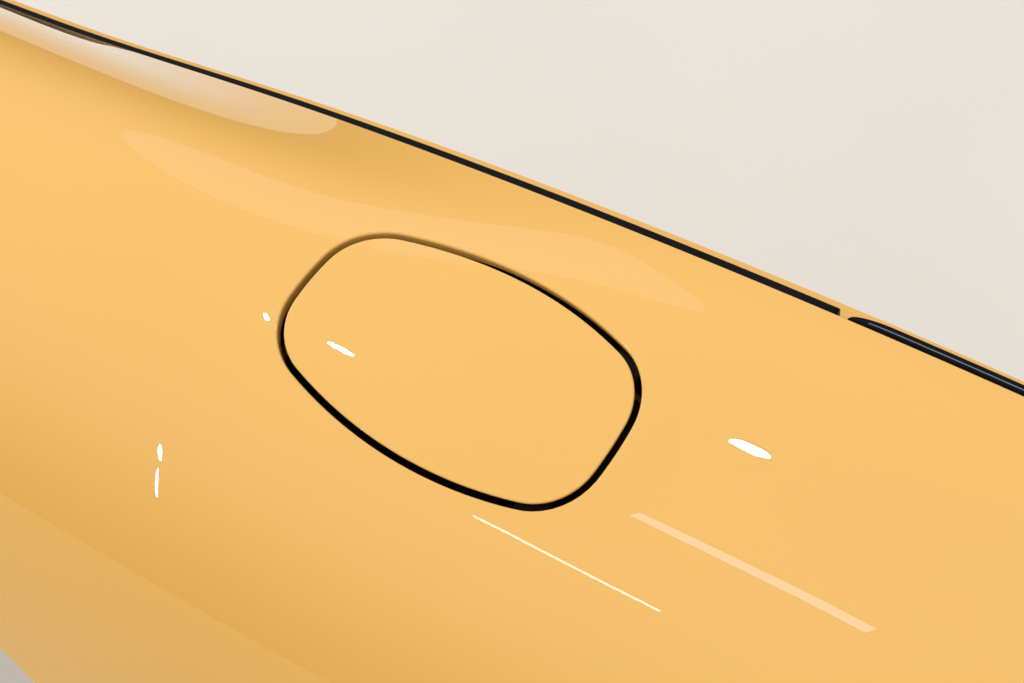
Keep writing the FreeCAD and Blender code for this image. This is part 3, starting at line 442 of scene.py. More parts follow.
def finish(name, shader_values, tints, tint_size, grain_size, grain_height, rough=None):
    """A surface finish: two tints in soft patches of tint_size, and a bump of grain_size and grain_height in metres.
    rough is the pair of roughness values between which the grain goes."""
    material = bpy.data.materials.new(name)
    material.use_nodes = True
    tree = material.node_tree
    tree.nodes.clear()
    place = node(tree, "ShaderNodeTexCoord")
    at = {"Vector": (place, "Object")}
    patches = node(tree, "ShaderNodeTexNoise", {"Scale": 1.0 / tint_size, "Detail": 3.0}, at)
    colours = ramp(tree, (patches, "Fac"), TINT_SHARES, tints)
    grain = node(tree, "ShaderNodeTexNoise", {"Scale": 1.0 / grain_size, "Detail": 2.0}, at)
    bump = node(tree, "ShaderNodeBump", {"Strength": 1.0, "Distance": grain_height}, {"Height": (grain, "Fac")})
    coloured = {"Base Color": (colours, "Color"), "Normal": (bump, "Normal")}
    shader = node(tree, "ShaderNodeBsdfPrincipled", shader_values, coloured)
    if rough:
        limits = {"To Min": rough[0], "To Max": rough[1]}
        spread = node(tree, "ShaderNodeMapRange", limits, {"Value": (grain, "Fac")})
        tree.links.new(spread.outputs["Result"], shader.inputs["Roughness"])
    node(tree, "ShaderNodeOutputMaterial", {}, {"Surface": (shader, "BSDF")})
    return material


# Pastel solid enamel under a clear lacquer: an even creamy yellow with sharp, bright reflections on top
enamel = finish(
    "pastel_enamel",
    {"Roughness": 0.5, "Specular IOR Level": 0.15, "Coat Weight": 1.0, "Coat Roughness": 0.006, "Coat IOR": 1.5},
    ("#EEBA5D", "#F0BD61"), 0.35, 0.004, 0.0000006,
)
# The same enamel sprayed thin inside, without lacquer: duller, with a pebbled texture
inner_enamel = finish(
    "inner_enamel", {"Roughness": 0.5, "IOR": 1.5, "Coat Weight": 0.15, "Coat Roughness": 0.3},
    ("#DDA553", "#E6B05D"), 0.05, 0.0016, 0.00004, rough=(0.4, 0.6),
)
# Injection-moulded polypropylene: near-black with a fine grain that spreads highlights
moulded_pp = finish(
    "moulded_polypropylene", {"Roughness": 0.5, "IOR": 1.49},
    ("#1A1B1D", "#232427"), 0.03, 0.0012, 0.00006, rough=(0.42, 0.6),
)
# Extruded EPDM rubber: matt blue-black, so that the strips read as dark lines beside the bright panel
epdm = finish(
    "extruded_rubber", {"Roughness": 0.42, "IOR": 1.52, "Specular IOR Level": 0.08},
    ("#060708", "#0B0C0E"), 0.02, 0.0009, 0.00002,
)
# A thin ridge along the strip's top in glossy rubber coloured blue-grey: painted highlight; being smooth, it also
# mirrors the windows
painted_highlight_rubber = finish(
    "painted_highlight_blue_grey", {"Roughness": 0.14, "IOR": 1.52, "Specular IOR Level": 1.0},
    ("#3E566E", "#46607A"), 0.02, 0.0009, 0.000002,
)
# Zinc-plated and yellow-passivated steel: a warm grey metal with faint patches
zinc = finish(
    "zinc_plated_steel", {"Metallic": 1.0, "Roughness": 0.34},
    ("#B9B4A0", "#CFC9AE"), 0.008, 0.0007, 0.00001, rough=(0.26, 0.44),
)
# Glass-filled nylon: satin black with a slight mottling
nylon = finish(
    "glass_filled_nylon", {"Roughness": 0.4, "IOR": 1.53},
    ("#17181A", "#202123"), 0.01, 0.0008, 0.00003, rough=(0.34, 0.5),
)
# Brushed seam sealer under paint: a matt, slightly lumpy cream-yellow paste
sealer = finish(
    "brushed_seam_sealer", {"Roughness": 0.6, "IOR": 1.48},
    ("#C2924E", "#D4A25A"), 0.008, 0.003, 0.00025, rough=(0.5, 0.7),
)
# A near-black, rubbery, pebbled coat standing in for the recess's shade, so that the recess reads dark through the
# flap's gap: painted shade
painted_shade_coating = finish(
    "painted_shade_black", {"Roughness": 0.62, "IOR": 1.5},
    ("#15110E", "#1E1814"), 0.02, 0.0022, 0.00012, rough=(0.55, 0.75),
)

SLOT_FINISH = {
    "paint": enamel, "liner_plastic": moulded_pp, "rubber": epdm, "plated_steel": zinc, "black_plastic": nylon,
}
for part in frame["record"]["subparts"]:
    piece = frame["nodes"][part["node"]]
    piece.data.materials.clear()
    piece.data.materials.append(SLOT_FINISH[part["material_slot"]])
for hidden_inside in ("lamp_panel", "rear_flange", "sill_flange", "hinge_bracket"):
    frame["nodes"][hidden_inside].data.materials[0] = inner_enamel
# The bowl and its buffer shelves take the black coat: painted shade in the recess
for painted_shade_part in ("filler_bowl", "buffer_shelf_outboard", "buffer_shelf_inboard"):
    frame["nodes"][painted_shade_part].data.materials[0] = painted_shade_coating


# Outer panel: its wheel arch, the height of the nose's lower edge, and the headlamp's plane
WHEEL_X, WHEEL_Z, ARCH_RADIUS = -0.50746 * WING_LENGTH, -0.21212 * WING_HEIGHT, 0.346
NOSE_Z = 0.08333 * WING_HEIGHT
LAMP = np.array([-0.95267 * WING_LENGTH, 0.50662 * WING_WIDTH, 0.29185 * WING_HEIGHT])
LEAN = math.radians(21.0)
LAMP_OUT = np.array([-math.cos(LEAN), 0.0, math.sin(LEAN)])
SHEET = 0.0008
# Where the searches for the wing's side and for its front border start and stop
SIDE_FROM, FRONT_TO = 0.35, 0.4
# Length coordinates of the sill's front end and of the place over the arch's rear end on the inner top edge
SILL_FRONT_X, TOP_BEHIND_ARCH_X = -0.353, -0.235
FADE_POWER = 8


def u_at(x):
    """Length parameter from the coordinate x."""
    return 1.0 + np.asarray(x) / WING_LENGTH


def side_v(x, z):
    """Girth parameter on the wing's side at a given x and height."""
    low, high = np.full(np.shape(x), SIDE_FROM), np.ones(np.shape(x))
    return halve(lambda v: wing_surface(u_at(x), v)[0][..., 2] < z, low, high)


def front_u(v):
    """Length parameter where the surface meets the lamp's plane."""
    low, high = np.zeros(np.shape(v)), np.full(np.shape(v), FRONT_TO)
    return halve(lambda u: ((wing_surface(u, v)[0] - LAMP) @ LAMP_OUT) < 0, low, high)


NOSE_COUNT, ARC_COUNT, SILL_COUNT, GIRTH_COUNT = 64, 132, 64, 96
arc_start = math.asin((NOSE_Z - WHEEL_Z) / ARCH_RADIUS)
sill_z = float(wing_surface(u_at(SILL_FRONT_X), 1.0)[0][2])
arc_stop = math.pi + math.asin((WHEEL_Z - sill_z) / ARCH_RADIUS)
arc_turn = np.linspace(arc_start, arc_stop, ARC_COUNT + 1)
arc_x = WHEEL_X - ARCH_RADIUS * np.cos(arc_turn)
arc_z = WHEEL_Z + ARCH_RADIUS * np.sin(arc_turn)
nose_front_x = LAMP[0] + (NOSE_Z - LAMP[2]) * math.tan(LEAN)
nose_x = np.linspace(nose_front_x, arc_x[0], NOSE_COUNT + 1)[:-1]
sill_x = np.linspace(arc_x[-1], 0.0, SILL_COUNT + 1)[1:]
edge_x = np.concatenate([nose_x, arc_x, sill_x])
edge_v = np.concatenate([
    side_v(nose_x, np.full(NOSE_COUNT, NOSE_Z)), np.append(side_v(arc_x[:-1], arc_z[:-1]), 1.0), np.ones(SILL_COUNT)
])
# Along the inner top edge the columns are spread evenly, so they lean over the arch's rear
top_front = float(front_u(np.array([0.0]))[0] - 1.0) * WING_LENGTH
top_x = np.concatenate([
    np.linspace(top_front, arc_x[0], NOSE_COUNT + 1)[:-1], np.linspace(arc_x[0], TOP_BEHIND_ARCH_X, ARC_COUNT + 1),
    np.linspace(TOP_BEHIND_ARCH_X, 0.0, SILL_COUNT + 1)[1:],
])
columns = len(edge_x)
t = np.linspace(0, 1, GIRTH_COUNT + 1)[:, None, None]
s = np.linspace(0, 1, columns)[None, :, None]
front_v = t[:, 0, 0] * edge_v[0]
left = np.stack([front_u(front_v), front_v], axis=-1)[:, None, :]
top = np.stack([u_at(top_x), np.zeros(columns)], axis=-1)[None, :, :]
low = np.stack([u_at(edge_x), edge_v], axis=-1)[None, :, :]
# In the surface's parameters each column runs straight down; the front border's bend fades quickly to the rear
straight_left = (1 - t) * top[:, :1] + t * low[:, :1]
grid = (1 - t) * top + t * low + (1 - s) ** FADE_POWER * (left - straight_left)
grid_u, grid_v = grid[..., 0], grid[..., 1]
wing_points, wing_normals, _, _ = wing_surface(grid_u, grid_v)

# The block of grid cells round the flap opening that makes way for a ring of cells
reach_a = (wing_points - flap_centre) @ flap_rear
reach_b = (wing_points - flap_centre) @ flap_inboard
ROOM = FLAP_GAP + 0.010
middle_row = int(np.argmin(np.abs(reach_b[:, int(np.argmin(np.abs(top_x - FLAP_X)))])))
band = np.abs(reach_b) < FLAP_B + ROOM
front_column = int(np.max(np.nonzero(np.all(~band | (reach_a < -FLAP_A - ROOM), axis=0))[0]))
rear_column = int(np.min(np.nonzero(np.all(~band | (reach_a > FLAP_A + ROOM), axis=0))[0]))
strip = slice(front_column, rear_column + 1)
high_rows = np.nonzero(np.all(reach_b[:, strip] > FLAP_B + ROOM, axis=1))[0]
low_rows = np.nonzero(np.all(reach_b[:, strip] < -FLAP_B - ROOM, axis=1))[0]
high_row = int(high_rows[high_rows < middle_row].max())
low_row = int(low_rows[low_rows > middle_row].min())
tall, wide = low_row - high_row, rear_column - front_column
loop_rows = np.concatenate([
    np.arange(low_row, high_row, -1), np.full(wide, high_row), np.arange(high_row, low_row), np.full(wide, low_row),
])
loop_columns = np.concatenate([
    np.full(tall, rear_column), np.arange(rear_column, front_column, -1),
    np.full(tall, front_column), np.arange(front_column, rear_column),
])
ring_u, ring_v = grid_u[loop_rows, loop_columns], grid_v[loop_rows, loop_columns]
ring_turn = np.arctan2(
    reach_b[loop_rows, loop_columns] / (FLAP_B + ROOM), reach_a[loop_rows, loop_columns] / (FLAP_A + ROOM)
)
hole_a, hole_b = flap_outline(FLAP_GAP, ring_turn)
hole_u, hole_v = drop_on_wing(hole_a, hole_b)
RING_STEPS = 5
share = np.linspace(0, 1, RING_STEPS + 1)[:, None]
ring_points, ring_normals, _, _ = wing_surface(
    ring_u * (1 - share) + hole_u * share, ring_v * (1 - share) + hole_v * share
)
hole_edge, hole_normal = ring_points[-1].copy(), ring_normals[-1]
# The opening's wall deepens towards the front, where the photo shows it
REBATE_RADIUS, REBATE_DEPTH, DEEPER_BY, DEEPER_FROM, DEEPER_OVER = 0.0013, 0.0040, 0.0030, 0.015, 0.045
hole_depth = REBATE_DEPTH + DEEPER_BY * np.clip((-hole_a - DEEPER_FROM) / DEEPER_OVER, 0.0, 1.0)
hole_profile = fold_profile(REBATE_RADIUS, hole_depth - SHEET / 2, SHEET)
hole_beyond = loop_beyond(hole_edge, hole_normal, 1)
hole_rows, hole_facing = fold_rows(hole_edge, hole_normal, hole_beyond, hole_profile)
ring_inner = ring_points - SHEET * ring_normals
ring_points[-1], ring_inner[-1] = hole_rows[0], hole_rows[-1]

# The outer border as one loop: front edge up, inner top edge to the rear, rear edge down, and the lower edge back
last = GIRTH_COUNT
border_rows = np.concatenate([
    np.arange(last, 0, -1), np.zeros(columns - 1, int), np.arange(0, last), np.full(columns - 1, last)
])
border_columns = np.concatenate([
    np.zeros(last, int), np.arange(0, columns - 1), np.full(last, columns - 1), np.arange(columns - 1, 0, -1)
])
border_points, border_normals = wing_points[border_rows, border_columns], wing_normals[border_rows, border_columns]
on_lower = border_rows == last
on_arch = on_lower & (border_columns >= NOSE_COUNT) & (border_columns <= NOSE_COUNT + ARC_COUNT)
on_nose = on_lower & (border_columns < NOSE_COUNT)
ARCH_FOLD_RADIUS, EDGE_FOLD_RADIUS = 0.0022, 0.0009
ARCH_FOLD_DEPTH, NOSE_FOLD_DEPTH, EDGE_FOLD_DEPTH = 0.0140, 0.0080, 0.0012
fold_radius = np.where(on_arch, ARCH_FOLD_RADIUS, EDGE_FOLD_RADIUS)
fold_depth = np.where(on_arch, ARCH_FOLD_DEPTH, np.where(on_nose, NOSE_FOLD_DEPTH, EDGE_FOLD_DEPTH)) - SHEET / 2
border_profile = fold_profile(fold_radius, fold_depth, SHEET)
border_beyond = loop_beyond(border_points, border_normals, 1)
border_fold, border_facing = fold_rows(border_points, border_normals, border_beyond, border_profile)
# The rear fold stays in front of the bolt line, so that the wing is no longer than its solids
border_fold[..., 0] = np.minimum(border_fold[..., 0], 0.0)
inner_points = wing_points - SHEET * wing_normals
wing_points[border_rows, border_columns] = border_fold[0]
inner_points[border_rows, border_columns] = border_fold[-1]


def split_grid(points, normals, flip, finish_index):
    """The main grid as four blocks that leave out the cells round the flap opening."""
    blocks = (
        (slice(0, high_row + 1), slice(0, columns)),
        (slice(low_row, last + 1), slice(0, columns)),
        (slice(high_row, low_row + 1), slice(0, front_column + 1)),
        (slice(high_row, low_row + 1), slice(rear_column, columns)),
    )
    return [patch(points[block], normals[block], flip=flip, finish=finish_index) for block in blocks]


outer_panel = build("outer_panel", [
    *split_grid(wing_points, wing_normals, False, 0), *split_grid(inner_points, -wing_normals, True, 1),
    patch(ring_points, ring_normals, closed=True, flip=True),
    patch(ring_inner, -ring_normals, closed=True, finish=1),
    patch(hole_rows, hole_facing, closed=True, flip=True),
    patch(border_fold, border_facing, closed=True, flip=True),
], (enamel, inner_enamel), "wing")
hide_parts("wing_skin", "flap_rebate", "arch_lip")


# Flap: outer sheet with a hemmed edge, and its pressed stiffener
def flap_rings(grow, rings, count):
    """Polar grid on the wing under the flap's outline: rings shrunk towards the flap's centre, given as their flap
    coordinates and shares of the whole, points and normals."""
    a, b = flap_outline(grow, count)
    share = np.linspace(0, 1, rings + 1)[:, None]
    points, normals, _, _ = wing_surface(*drop_on_wing(share * a, share * b))
    return (share * a, share * b, share + 0 * a), points, normals


FLAP_COUNT, SKIN_RINGS, UNDER_RINGS = 288, 24, 18
_, skin_points, skin_normals = flap_rings(0.0, SKIN_RINGS, FLAP_COUNT)
flap_beyond = loop_beyond(skin_points[-1], skin_normals[-1], -1)
# The hem turns round the edge, runs back under the sheet, and ends in a small round tip just under it
HEM_WIDTH, HEM_DEPTH, HEM_RADIUS, HEM_TIP, HEM_LIFT = 0.0075, 0.0018, 0.0008, 0.0003, 0.0002
HEM_FOOT, HEM_INSIDE = 0.0008, 0.0012
hem = bend(-HEM_RADIUS, HEM_RADIUS, HEM_RADIUS, 0, QUARTER, FOLD_STEPS)
hem += bend(-HEM_RADIUS, HEM_DEPTH - HEM_RADIUS, HEM_RADIUS, QUARTER, math.pi, FOLD_STEPS)
hem += bend(-HEM_WIDTH, HEM_DEPTH - HEM_TIP, HEM_TIP, math.pi, 3 * QUARTER, TIP_STEPS)
hem += [(-HEM_WIDTH - HEM_TIP, SHEET + HEM_LIFT, 3 * QUARTER), (-HEM_WIDTH - HEM_FOOT, SHEET, math.pi)]
hem_rows, hem_facing = fold_rows(skin_points[-1], skin_normals[-1], flap_beyond, np.array(hem).T)
skin_points[-1] = hem_rows[0]
_, under_points, under_normals = flap_rings(-HEM_WIDTH - HEM_INSIDE, UNDER_RINGS, FLAP_COUNT)
under_points = under_points - SHEET * under_normals
under_points[-1] = hem_rows[-1]
flap_panel = build("flap_panel", [
    patch(skin_points, skin_normals, closed=True),
    patch(under_points, -under_normals, closed=True, flip=True, finish=1),
    patch(hem_rows, hem_facing, closed=True),
], (enamel, inner_enamel), "flap")
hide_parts("flap_skin")

# Stiffener under the flap: a pressed sheet with a channel round its border and two long beads
STIFF_TOP, STIFF_LOW, BEAD, STIFF_INSET = 0.0011, 0.0022, 0.0010, 0.0086
STIFF_RINGS, STIFF_TOP_RINGS, STIFF_COUNT = 64, 4, 240
CHANNEL_AT, CHANNEL_HALF = 0.84, 0.07
BEAD_AT, BEAD_HALF, BEAD_END, BEAD_RUN_OUT = 0.0235, 0.0045, 0.052, 0.006


def ease(x):
    """3 x squared less 2 x cubed, held between 0 and 1."""
    x = np.clip(x, 0.0, 1.0)
    return x * x * (3.0 - 2.0 * x)


def pressing(a, b, share):
    """Depth of the stiffener's face: a channel of eased section at 84 % of the way out, and two beads beside
    the hinge arm's pad."""
    channel = ease(1.0 - np.abs(share - CHANNEL_AT) / CHANNEL_HALF)
    beads = ease(1.0 - np.abs(np.abs(b) - BEAD_AT) / BEAD_HALF) * ease((BEAD_END - np.abs(a)) / BEAD_RUN_OUT)
    return STIFF_LOW - BEAD * np.maximum(channel, beads)


def pressed_sheet(rings, depth_of):
    """The flap's rings inside its hem, lowered by the pressing's depth, with the normals of the pressed grid."""
    places, points, normals = flap_rings(-STIFF_INSET, rings, STIFF_COUNT)
    points = points - depth_of(*places)[..., None] * normals
    bent = grid_normals(points)
    bent[0] = normals[0]
    return points, bent * np.sign(np.sum(bent * normals, axis=-1, keepdims=True))


low_face, low_normals = pressed_sheet(STIFF_RINGS, pressing)
top_face, top_normals = pressed_sheet(STIFF_TOP_RINGS, lambda a, b, share: STIFF_TOP + 0 * share)
rim_points = np.stack([top_face[-1], low_face[-1]])
rim_out = unit(low_face[-1] - low_face[-2])
flap_stiffener = build("flap_stiffener", [
    patch(low_face, -low_normals, closed=True, flip=True),
    patch(top_face, top_normals, closed=True),
    patch(rim_points, np.stack([rim_out, rim_out]), closed=True),
], (inner_enamel,), "flap")
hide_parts("flap_inner")


# Turned pieces in the filler bowl
def surface_height(a, b):
    """Height of the wing over the flap's plane, in millimetres."""
    point = wing_surface(*drop_on_wing(np.array(a * MM), np.array(b * MM)))[0]
    return float((point - flap_centre) @ flap_out) / MM


def bowl_place(a, b, n):
    """Frame at flap coordinates in millimetres, with its axis out of the flap's plane."""
    return frame_of(in_flap(a * MM, b * MM, n * MM), flap_out, flap_rear)


# Their places in flap coordinates and their heights are millimetres
NECK_A, BOWL_DEEP, NECK_TOP = 22.0, 80.0, 34.0
DRAIN_A, DRAIN_B = -30.0, -42.0
STOP_A, STOP_B, STOP_TALL, STOP_UNDER_SKIN, STOP_SQUEEZE = 68.0, 30.0, 13.0, 2.2, 1.0
neck_place = bowl_place(NECK_A, 0.0, -BOWL_DEEP)
filler_pipe = build("filler_pipe", [turned(
    ((23, -62), (25, -62), (25, -56), (26, -54), (25, -52), (25, -12), (27, -10), (27, NECK_TOP), (25, NECK_TOP),
     (23, 28)),
    (0.4, 0.4, 1.0, 1.0, 1.0, 1.5, 1.5, 0.6, 0.6, 2.0), neck_place, 112,
)], (zinc,), "wing")
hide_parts("filler_neck")
pipe_grommet = build("pipe_grommet", [turned(
    ((27, 0), (31, 0), (31, 1.2), (36, 1.2), (36, 2.7), (33.5, 3.2), (30.6, 3.6), (29.6, 6), (27, 6)),
    (0.2, 0.2, 0.2, 0.5, 0.8, 2.0, 1.5, 0.8, 0.5), neck_place, 112,
)], (epdm,), "wing")
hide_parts("neck_grommet")
drain_pipe = build("drain_pipe", [turned(
    ((4.8, -34), (6, -34), (6, 1.2), (4.8, 1.2)), 0.3, bowl_place(DRAIN_A, DRAIN_B, -BOWL_DEEP), 48,
)], (epdm,), "wing")
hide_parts("drain_spout")
for name, side in (("outboard", -1), ("inboard", 1)):
    stop_top = surface_height(STOP_A, side * STOP_B) - STOP_UNDER_SKIN - STOP_SQUEEZE
    stop = build("rubber_stop_" + name, [turned(
        ((0, 0), (6, 0), (6, 2), (5, 3), (4.4, 6.2), (5, 9.4), (4.6, 12.2), (3, STOP_TALL), (0, STOP_TALL)),
        (0.1, 0.3, 0.6, 0.5, 3.0, 2.0, 1.0, 1.0, 0.1), bowl_place(STOP_A, side * STOP_B, stop_top - STOP_TALL), 48,
        closed=False,
    )], (epdm,), "wing")
    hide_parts("buffer_" + name)

# Cap: moulded shell with sixteen finger grooves round its rim and a rounded grip bar, a hair above the neck
CAP_SKIRT, CAP_LIFT = 12.0, 0.1
cap_place = bowl_place(NECK_A, 0.0, NECK_TOP - BOWL_DEEP - CAP_SKIRT + CAP_LIFT)
GROOVE_COUNT, GROOVE_DEEP, GROOVE_NARROWING = 16.0, 1.4, 5
GROOVE_FROM_RADIUS, GROOVE_RADIUS_RUN, GROOVE_TOP, GROOVE_TOP_RUN = 33.5, 2.5, 22.5, 3.0


def finger_grooves(angle, radius, height):
    """Sixteen hollows, 1.4 mm deep, in the outer wall below its top edge: half of one plus a cosine, raised to a
    power that makes them narrow, and eased out inwards and upwards."""
    wave = ((1.0 + np.cos(GROOVE_COUNT * angle)) / 2.0) ** GROOVE_NARROWING
    outer = ease((radius - GROOVE_FROM_RADIUS) / GROOVE_RADIUS_RUN)
    return -GROOVE_DEEP * wave * outer * ease((GROOVE_TOP - height) / GROOVE_TOP_RUN)


grip_line, grip_facing = stadium(29.0, 6.0, 16)
cap_shell = turned(
    ((0, CAP_SKIRT), (27.1, CAP_SKIRT), (27.1, 0), (36, 0), (37, 1), (37, 8), (37, 15), (37, 20.6), (34.4, 23.6),
     (27, 24), (25.6, 23.2), (0, 23.2)),
    (0.1, 0.4, 0.3, 0.5, 0.5, 2.0, 2.0, 1.8, 1.8, 0.6, 0.8, 0.1), cap_place, 320, closed=False, ripple=finger_grooves,
)
grip_bar = stacked(
    grip_line, grip_facing,
    [(1.6, 23.0, 0.2), (0.9, 23.5, 0.5), (0.25, 24.4, 0.3)] + rounded_top(33.0, 2.4, 25.4, 6), cap_place,
)
screw_cap = build("screw_cap", [cap_shell, grip_bar], (nylon,), "cap")
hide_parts("filler_cap")

# Headlamp seat: deep-drawn bowl and pressed ring, turned about the lamp's axis
lamp_place = frame_of(LAMP, LAMP_OUT, (0.0, 1.0, 0.0))
lamp_bowl = build("lamp_bowl", [turned(
    ((14, -92), (55.2, -92), (74, -76), (89, -50.6), (91.2, -20), (92, 0), (90.8, 0), (90, -20), (87.8, -49.4),
     (73, -74.6), (54.5, -90.8), (14, -90.8)),
    (0.3, 12, 20, 20, 30, 0.3, 0.3, 30, 20, 20, 12, 0.3), lamp_place, 160, steps=5,
)], (inner_enamel,), "wing")
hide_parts("headlamp_bowl")
lamp_rim = build("lamp_rim", [turned(
    ((90.8, 0), (101, 0), (99.5, 3), (93, 3), (90.8, 1.2)), (0.1, 0.3, 1.2, 1.0, 0.6), lamp_place, 160,
)], (enamel,), "wing")
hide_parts("lamp_ring")


# Strips carried along the inner top edge
def edge_strip(x_front, x_rear, count, outline, taper):
    """An outline of (inboard, up) millimetres carried along the edge curve; taper scales it at each place."""
    x = np.linspace(x_front, x_rear, count)
    line, _, along, _ = wing_surface(u_at(x), np.zeros(count))
    section, facing = outline
    grow = taper(x)[None, :]
    points = np.stack([
        np.repeat(line[None, :, 0], len(section), axis=0),
        line[None, :, 1] + MM * section[:, :1] * grow, line[None, :, 2] + MM * section[:, 1:] * grow,
    ], axis=-1)
    normals = np.stack([0 * points[..., 0], facing[:, :1] + 0 * grow, facing[:, 1:] + 0 * grow], axis=-1)
    loop = np.concatenate([points, points[:1]]), np.concatenate([normals, normals[:1]])
    ends = []
    for column, side in ((0, -1.0), (-1, 1.0)):
        rim = loop[0][:-1, column]
        centre = np.broadcast_to(rim.mean(axis=0), rim.shape)
        outward = np.broadcast_to(side * unit(along[column]), rim.shape)
        ends.append(patch(np.stack([rim, centre]), np.stack([outward, outward]), closed=True, flip=side > 0))
    return [patch(*loop)] + ends


STRIP_FRONT_X, STRIP_REAR_X, STRIP_TAPER, STRIP_TIP = -0.178, -0.0001, 0.022, 0.08
# Ends of the painted-highlight ridge, and of the black rail strip, which is painted shade
HIGHLIGHT_CREST_FRONT_X, HIGHLIGHT_CREST_REAR_X, SHADE_STRIP_FRONT_X, SHADE_STRIP_REAR_X = -0.168, -0.0004, -1.262, -0.186
STRIP_COUNT, SHADE_STRIP_COUNT = 160, 420


def strip_taper(x):
    """The strip starts at 8 % of its size and grows as a quarter circle over its first 22 mm."""
    short = 1.0 - np.clip((x - STRIP_FRONT_X) / STRIP_TAPER, 0.0, 1.0)
    return STRIP_TIP + (1.0 - STRIP_TIP) * np.sqrt(1.0 - short ** 2)


seal = rounded(((0.2, -8.5), (6.0, -8.5), (6.0, 1.5), (0.2, 1.5)), (0.3, 0.3, 2.6, 2.6), 8)
# A thin ridge on the strip's top, coloured blue-grey: painted highlight
highlight_crest = rounded(((2.119, 1.176), (2.075, 1.472), (1.481, 1.384), (1.525, 1.088)), 0.08, 3)
# Section of a black rubber strip on the rail, put where the bonnet gap's shade falls: painted shade
rail = rounded(
    ((0.6, -17.0), (9.5, -17.0), (9.5, -7.0), (8.0, -3.6), (2.6, -3.6), (0.6, -6.0)),
    (0.3, 0.3, 2.0, 2.0, 2.0, 0.5), 5,
)
strip_patches = edge_strip(STRIP_FRONT_X, STRIP_REAR_X, STRIP_COUNT, seal, strip_taper)
# The ridge takes the blue-grey rubber of the painted highlight
for item in edge_strip(HIGHLIGHT_CREST_FRONT_X, HIGHLIGHT_CREST_REAR_X, STRIP_COUNT, highlight_crest, strip_taper):
    strip_patches.append({**item, "finish": 1})
rear_edge_strip = build("rear_edge_strip", strip_patches, (epdm, painted_highlight_rubber), "wing")
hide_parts("cowl_seal")
# The black rail strip along the bonnet edge: painted shade in the gap
painted_shade_rail_strip = build("painted_shade_rail_strip", edge_strip(
    SHADE_STRIP_FRONT_X, SHADE_STRIP_REAR_X, SHADE_STRIP_COUNT, rail, np.ones_like,
), (epdm,), "wing")


# Seam sealer round the floor of the bowl: a fillet with a brushed, uneven width
BEAD_COUNT, BOWL_GROW, BOWL_AHEAD, AHEAD_RUN = 420, 0.0083, 0.026, 0.02
BOWL_FLOOR, BEAD_FLOOR, BEAD_WIDTH, BEAD_STEPS = -0.0788, -0.0791, 0.0032, 7
# Waves of the bead's width: height, number round the bowl, shift
BEAD_WAVES = ((0.0005, 11, 0.0), (0.0004, 23, 1.3))
bead_line = np.stack(flap_outline(BOWL_GROW, BEAD_COUNT), axis=1)
# The bowl's front half lies 26 mm ahead of the flap's outline
bead_line[:, 0] -= BOWL_AHEAD * ease(-bead_line[:, 0] / AHEAD_RUN)
bead_turn = even_turns(BEAD_COUNT)
bead_wide = BEAD_WIDTH + sum(high * np.sin(number * bead_turn + shift) for high, number, shift in BEAD_WAVES)
bead_ahead = unit(np.roll(bead_line, -1, axis=0) - np.roll(bead_line, 1, axis=0))
bead_in = np.stack([-bead_ahead[:, 1], bead_ahead[:, 0]], axis=1)
bead_rows, bead_facing = [], []
for turn in np.linspace(0, QUARTER, BEAD_STEPS):
    inwards = bead_in * (bead_wide * (1 - math.cos(turn)))[:, None]
    bead_rows.append(in_flap(*(bead_line + inwards).T, BOWL_FLOOR + bead_wide * (1 - math.sin(turn))))
    bead_facing.append(
        math.cos(turn) * (bead_in[:, :1] * flap_rear + bead_in[:, 1:] * flap_inboard) + math.sin(turn) * flap_out
    )
bead_rows.append(in_flap(*bead_line.T, BEAD_FLOOR))
bead_facing.append(-flap_out + 0 * bead_facing[0])
bead_rows.append(bead_rows[0])
bead_facing.append(bead_facing[0])
seam_bead = build("seam_sealer", [
    patch(np.stack(bead_rows), np.stack(bead_facing), closed=True, flip=True),
], (sealer,), "wing")

# Two hexagon screws on the hinge bracket's back plate, which lies in front of and a little below the hinge
HINGE_A, HINGE_DEEP = -106.75, 9.5
PLATE_AHEAD, SCREW_BELOW, SCREW_ASIDE = 15.5, 2.0, 10.0
hinge_n = surface_height(HINGE_A, 0.0) - HINGE_DEEP
screws = []
for b in (-SCREW_ASIDE, SCREW_ASIDE):
    screw_place = in_flap((HINGE_A - PLATE_AHEAD) * MM, b * MM, (hinge_n - SCREW_BELOW) * MM)
    screws += hex_bolt(frame_of(screw_place, flap_rear, flap_out), across=6.0, tall=3.0, washer=4.6)
bracket_screws = build("bracket_screws", screws, (zinc,), "wing")


# Spot welds on the rail: shallow rings with a sunk middle, evenly spaced but for the bolt holes
WELD_SECTION = ((0, -0.3), (2.9, -0.3), (2.6, 0.22), (1.9, 0.22), (1.2, 0.03), (0, 0.02))
WELDS_FRONT_X, WELDS_REAR_X, WELD_SPACING, HOLE_CLEAR = -1.225, -0.02, 0.046, 0.012
RAIL_HOLES = (-1.06, -0.96, -0.64, -0.54, -0.24, -0.14)
WELD_FROM_EDGE = np.array([0.0, 19.0, -17.0]) * MM
welds = []
for x in np.arange(WELDS_FRONT_X, WELDS_REAR_X, WELD_SPACING):
    on_edge, _, along, _ = wing_surface(u_at(x), 0.0)
    if min(abs(x - hole) for hole in RAIL_HOLES) > HOLE_CLEAR:
        weld_place = frame_of(on_edge + WELD_FROM_EDGE, np.cross(along, (0.0, 1.0, 0.0)), along)
        welds.append(turned(WELD_SECTION, 0.25, weld_place, 20, closed=False))
rail_welds = build("spot_welds", welds, (enamel,), "wing")

# Camera, with the focal length given in pixels of the photo's width
ROUND, TILT = math.radians(33.0), math.radians(46.0)
CAMERA_PLACE = (0.081, -0.456, 1.120)
FOCAL_PIXELS, WIDTH_PIXELS, SENSOR_WIDTH = 2200.0, 1024.0, 36.0


def placed(first, second, third, place):
    """World matrix from three unit axes and a place."""
    rows = np.stack([first, second, third, np.array(place, float)], axis=1)
    return Matrix((*rows.tolist(), (0.0, 0.0, 0.0, 1.0)))


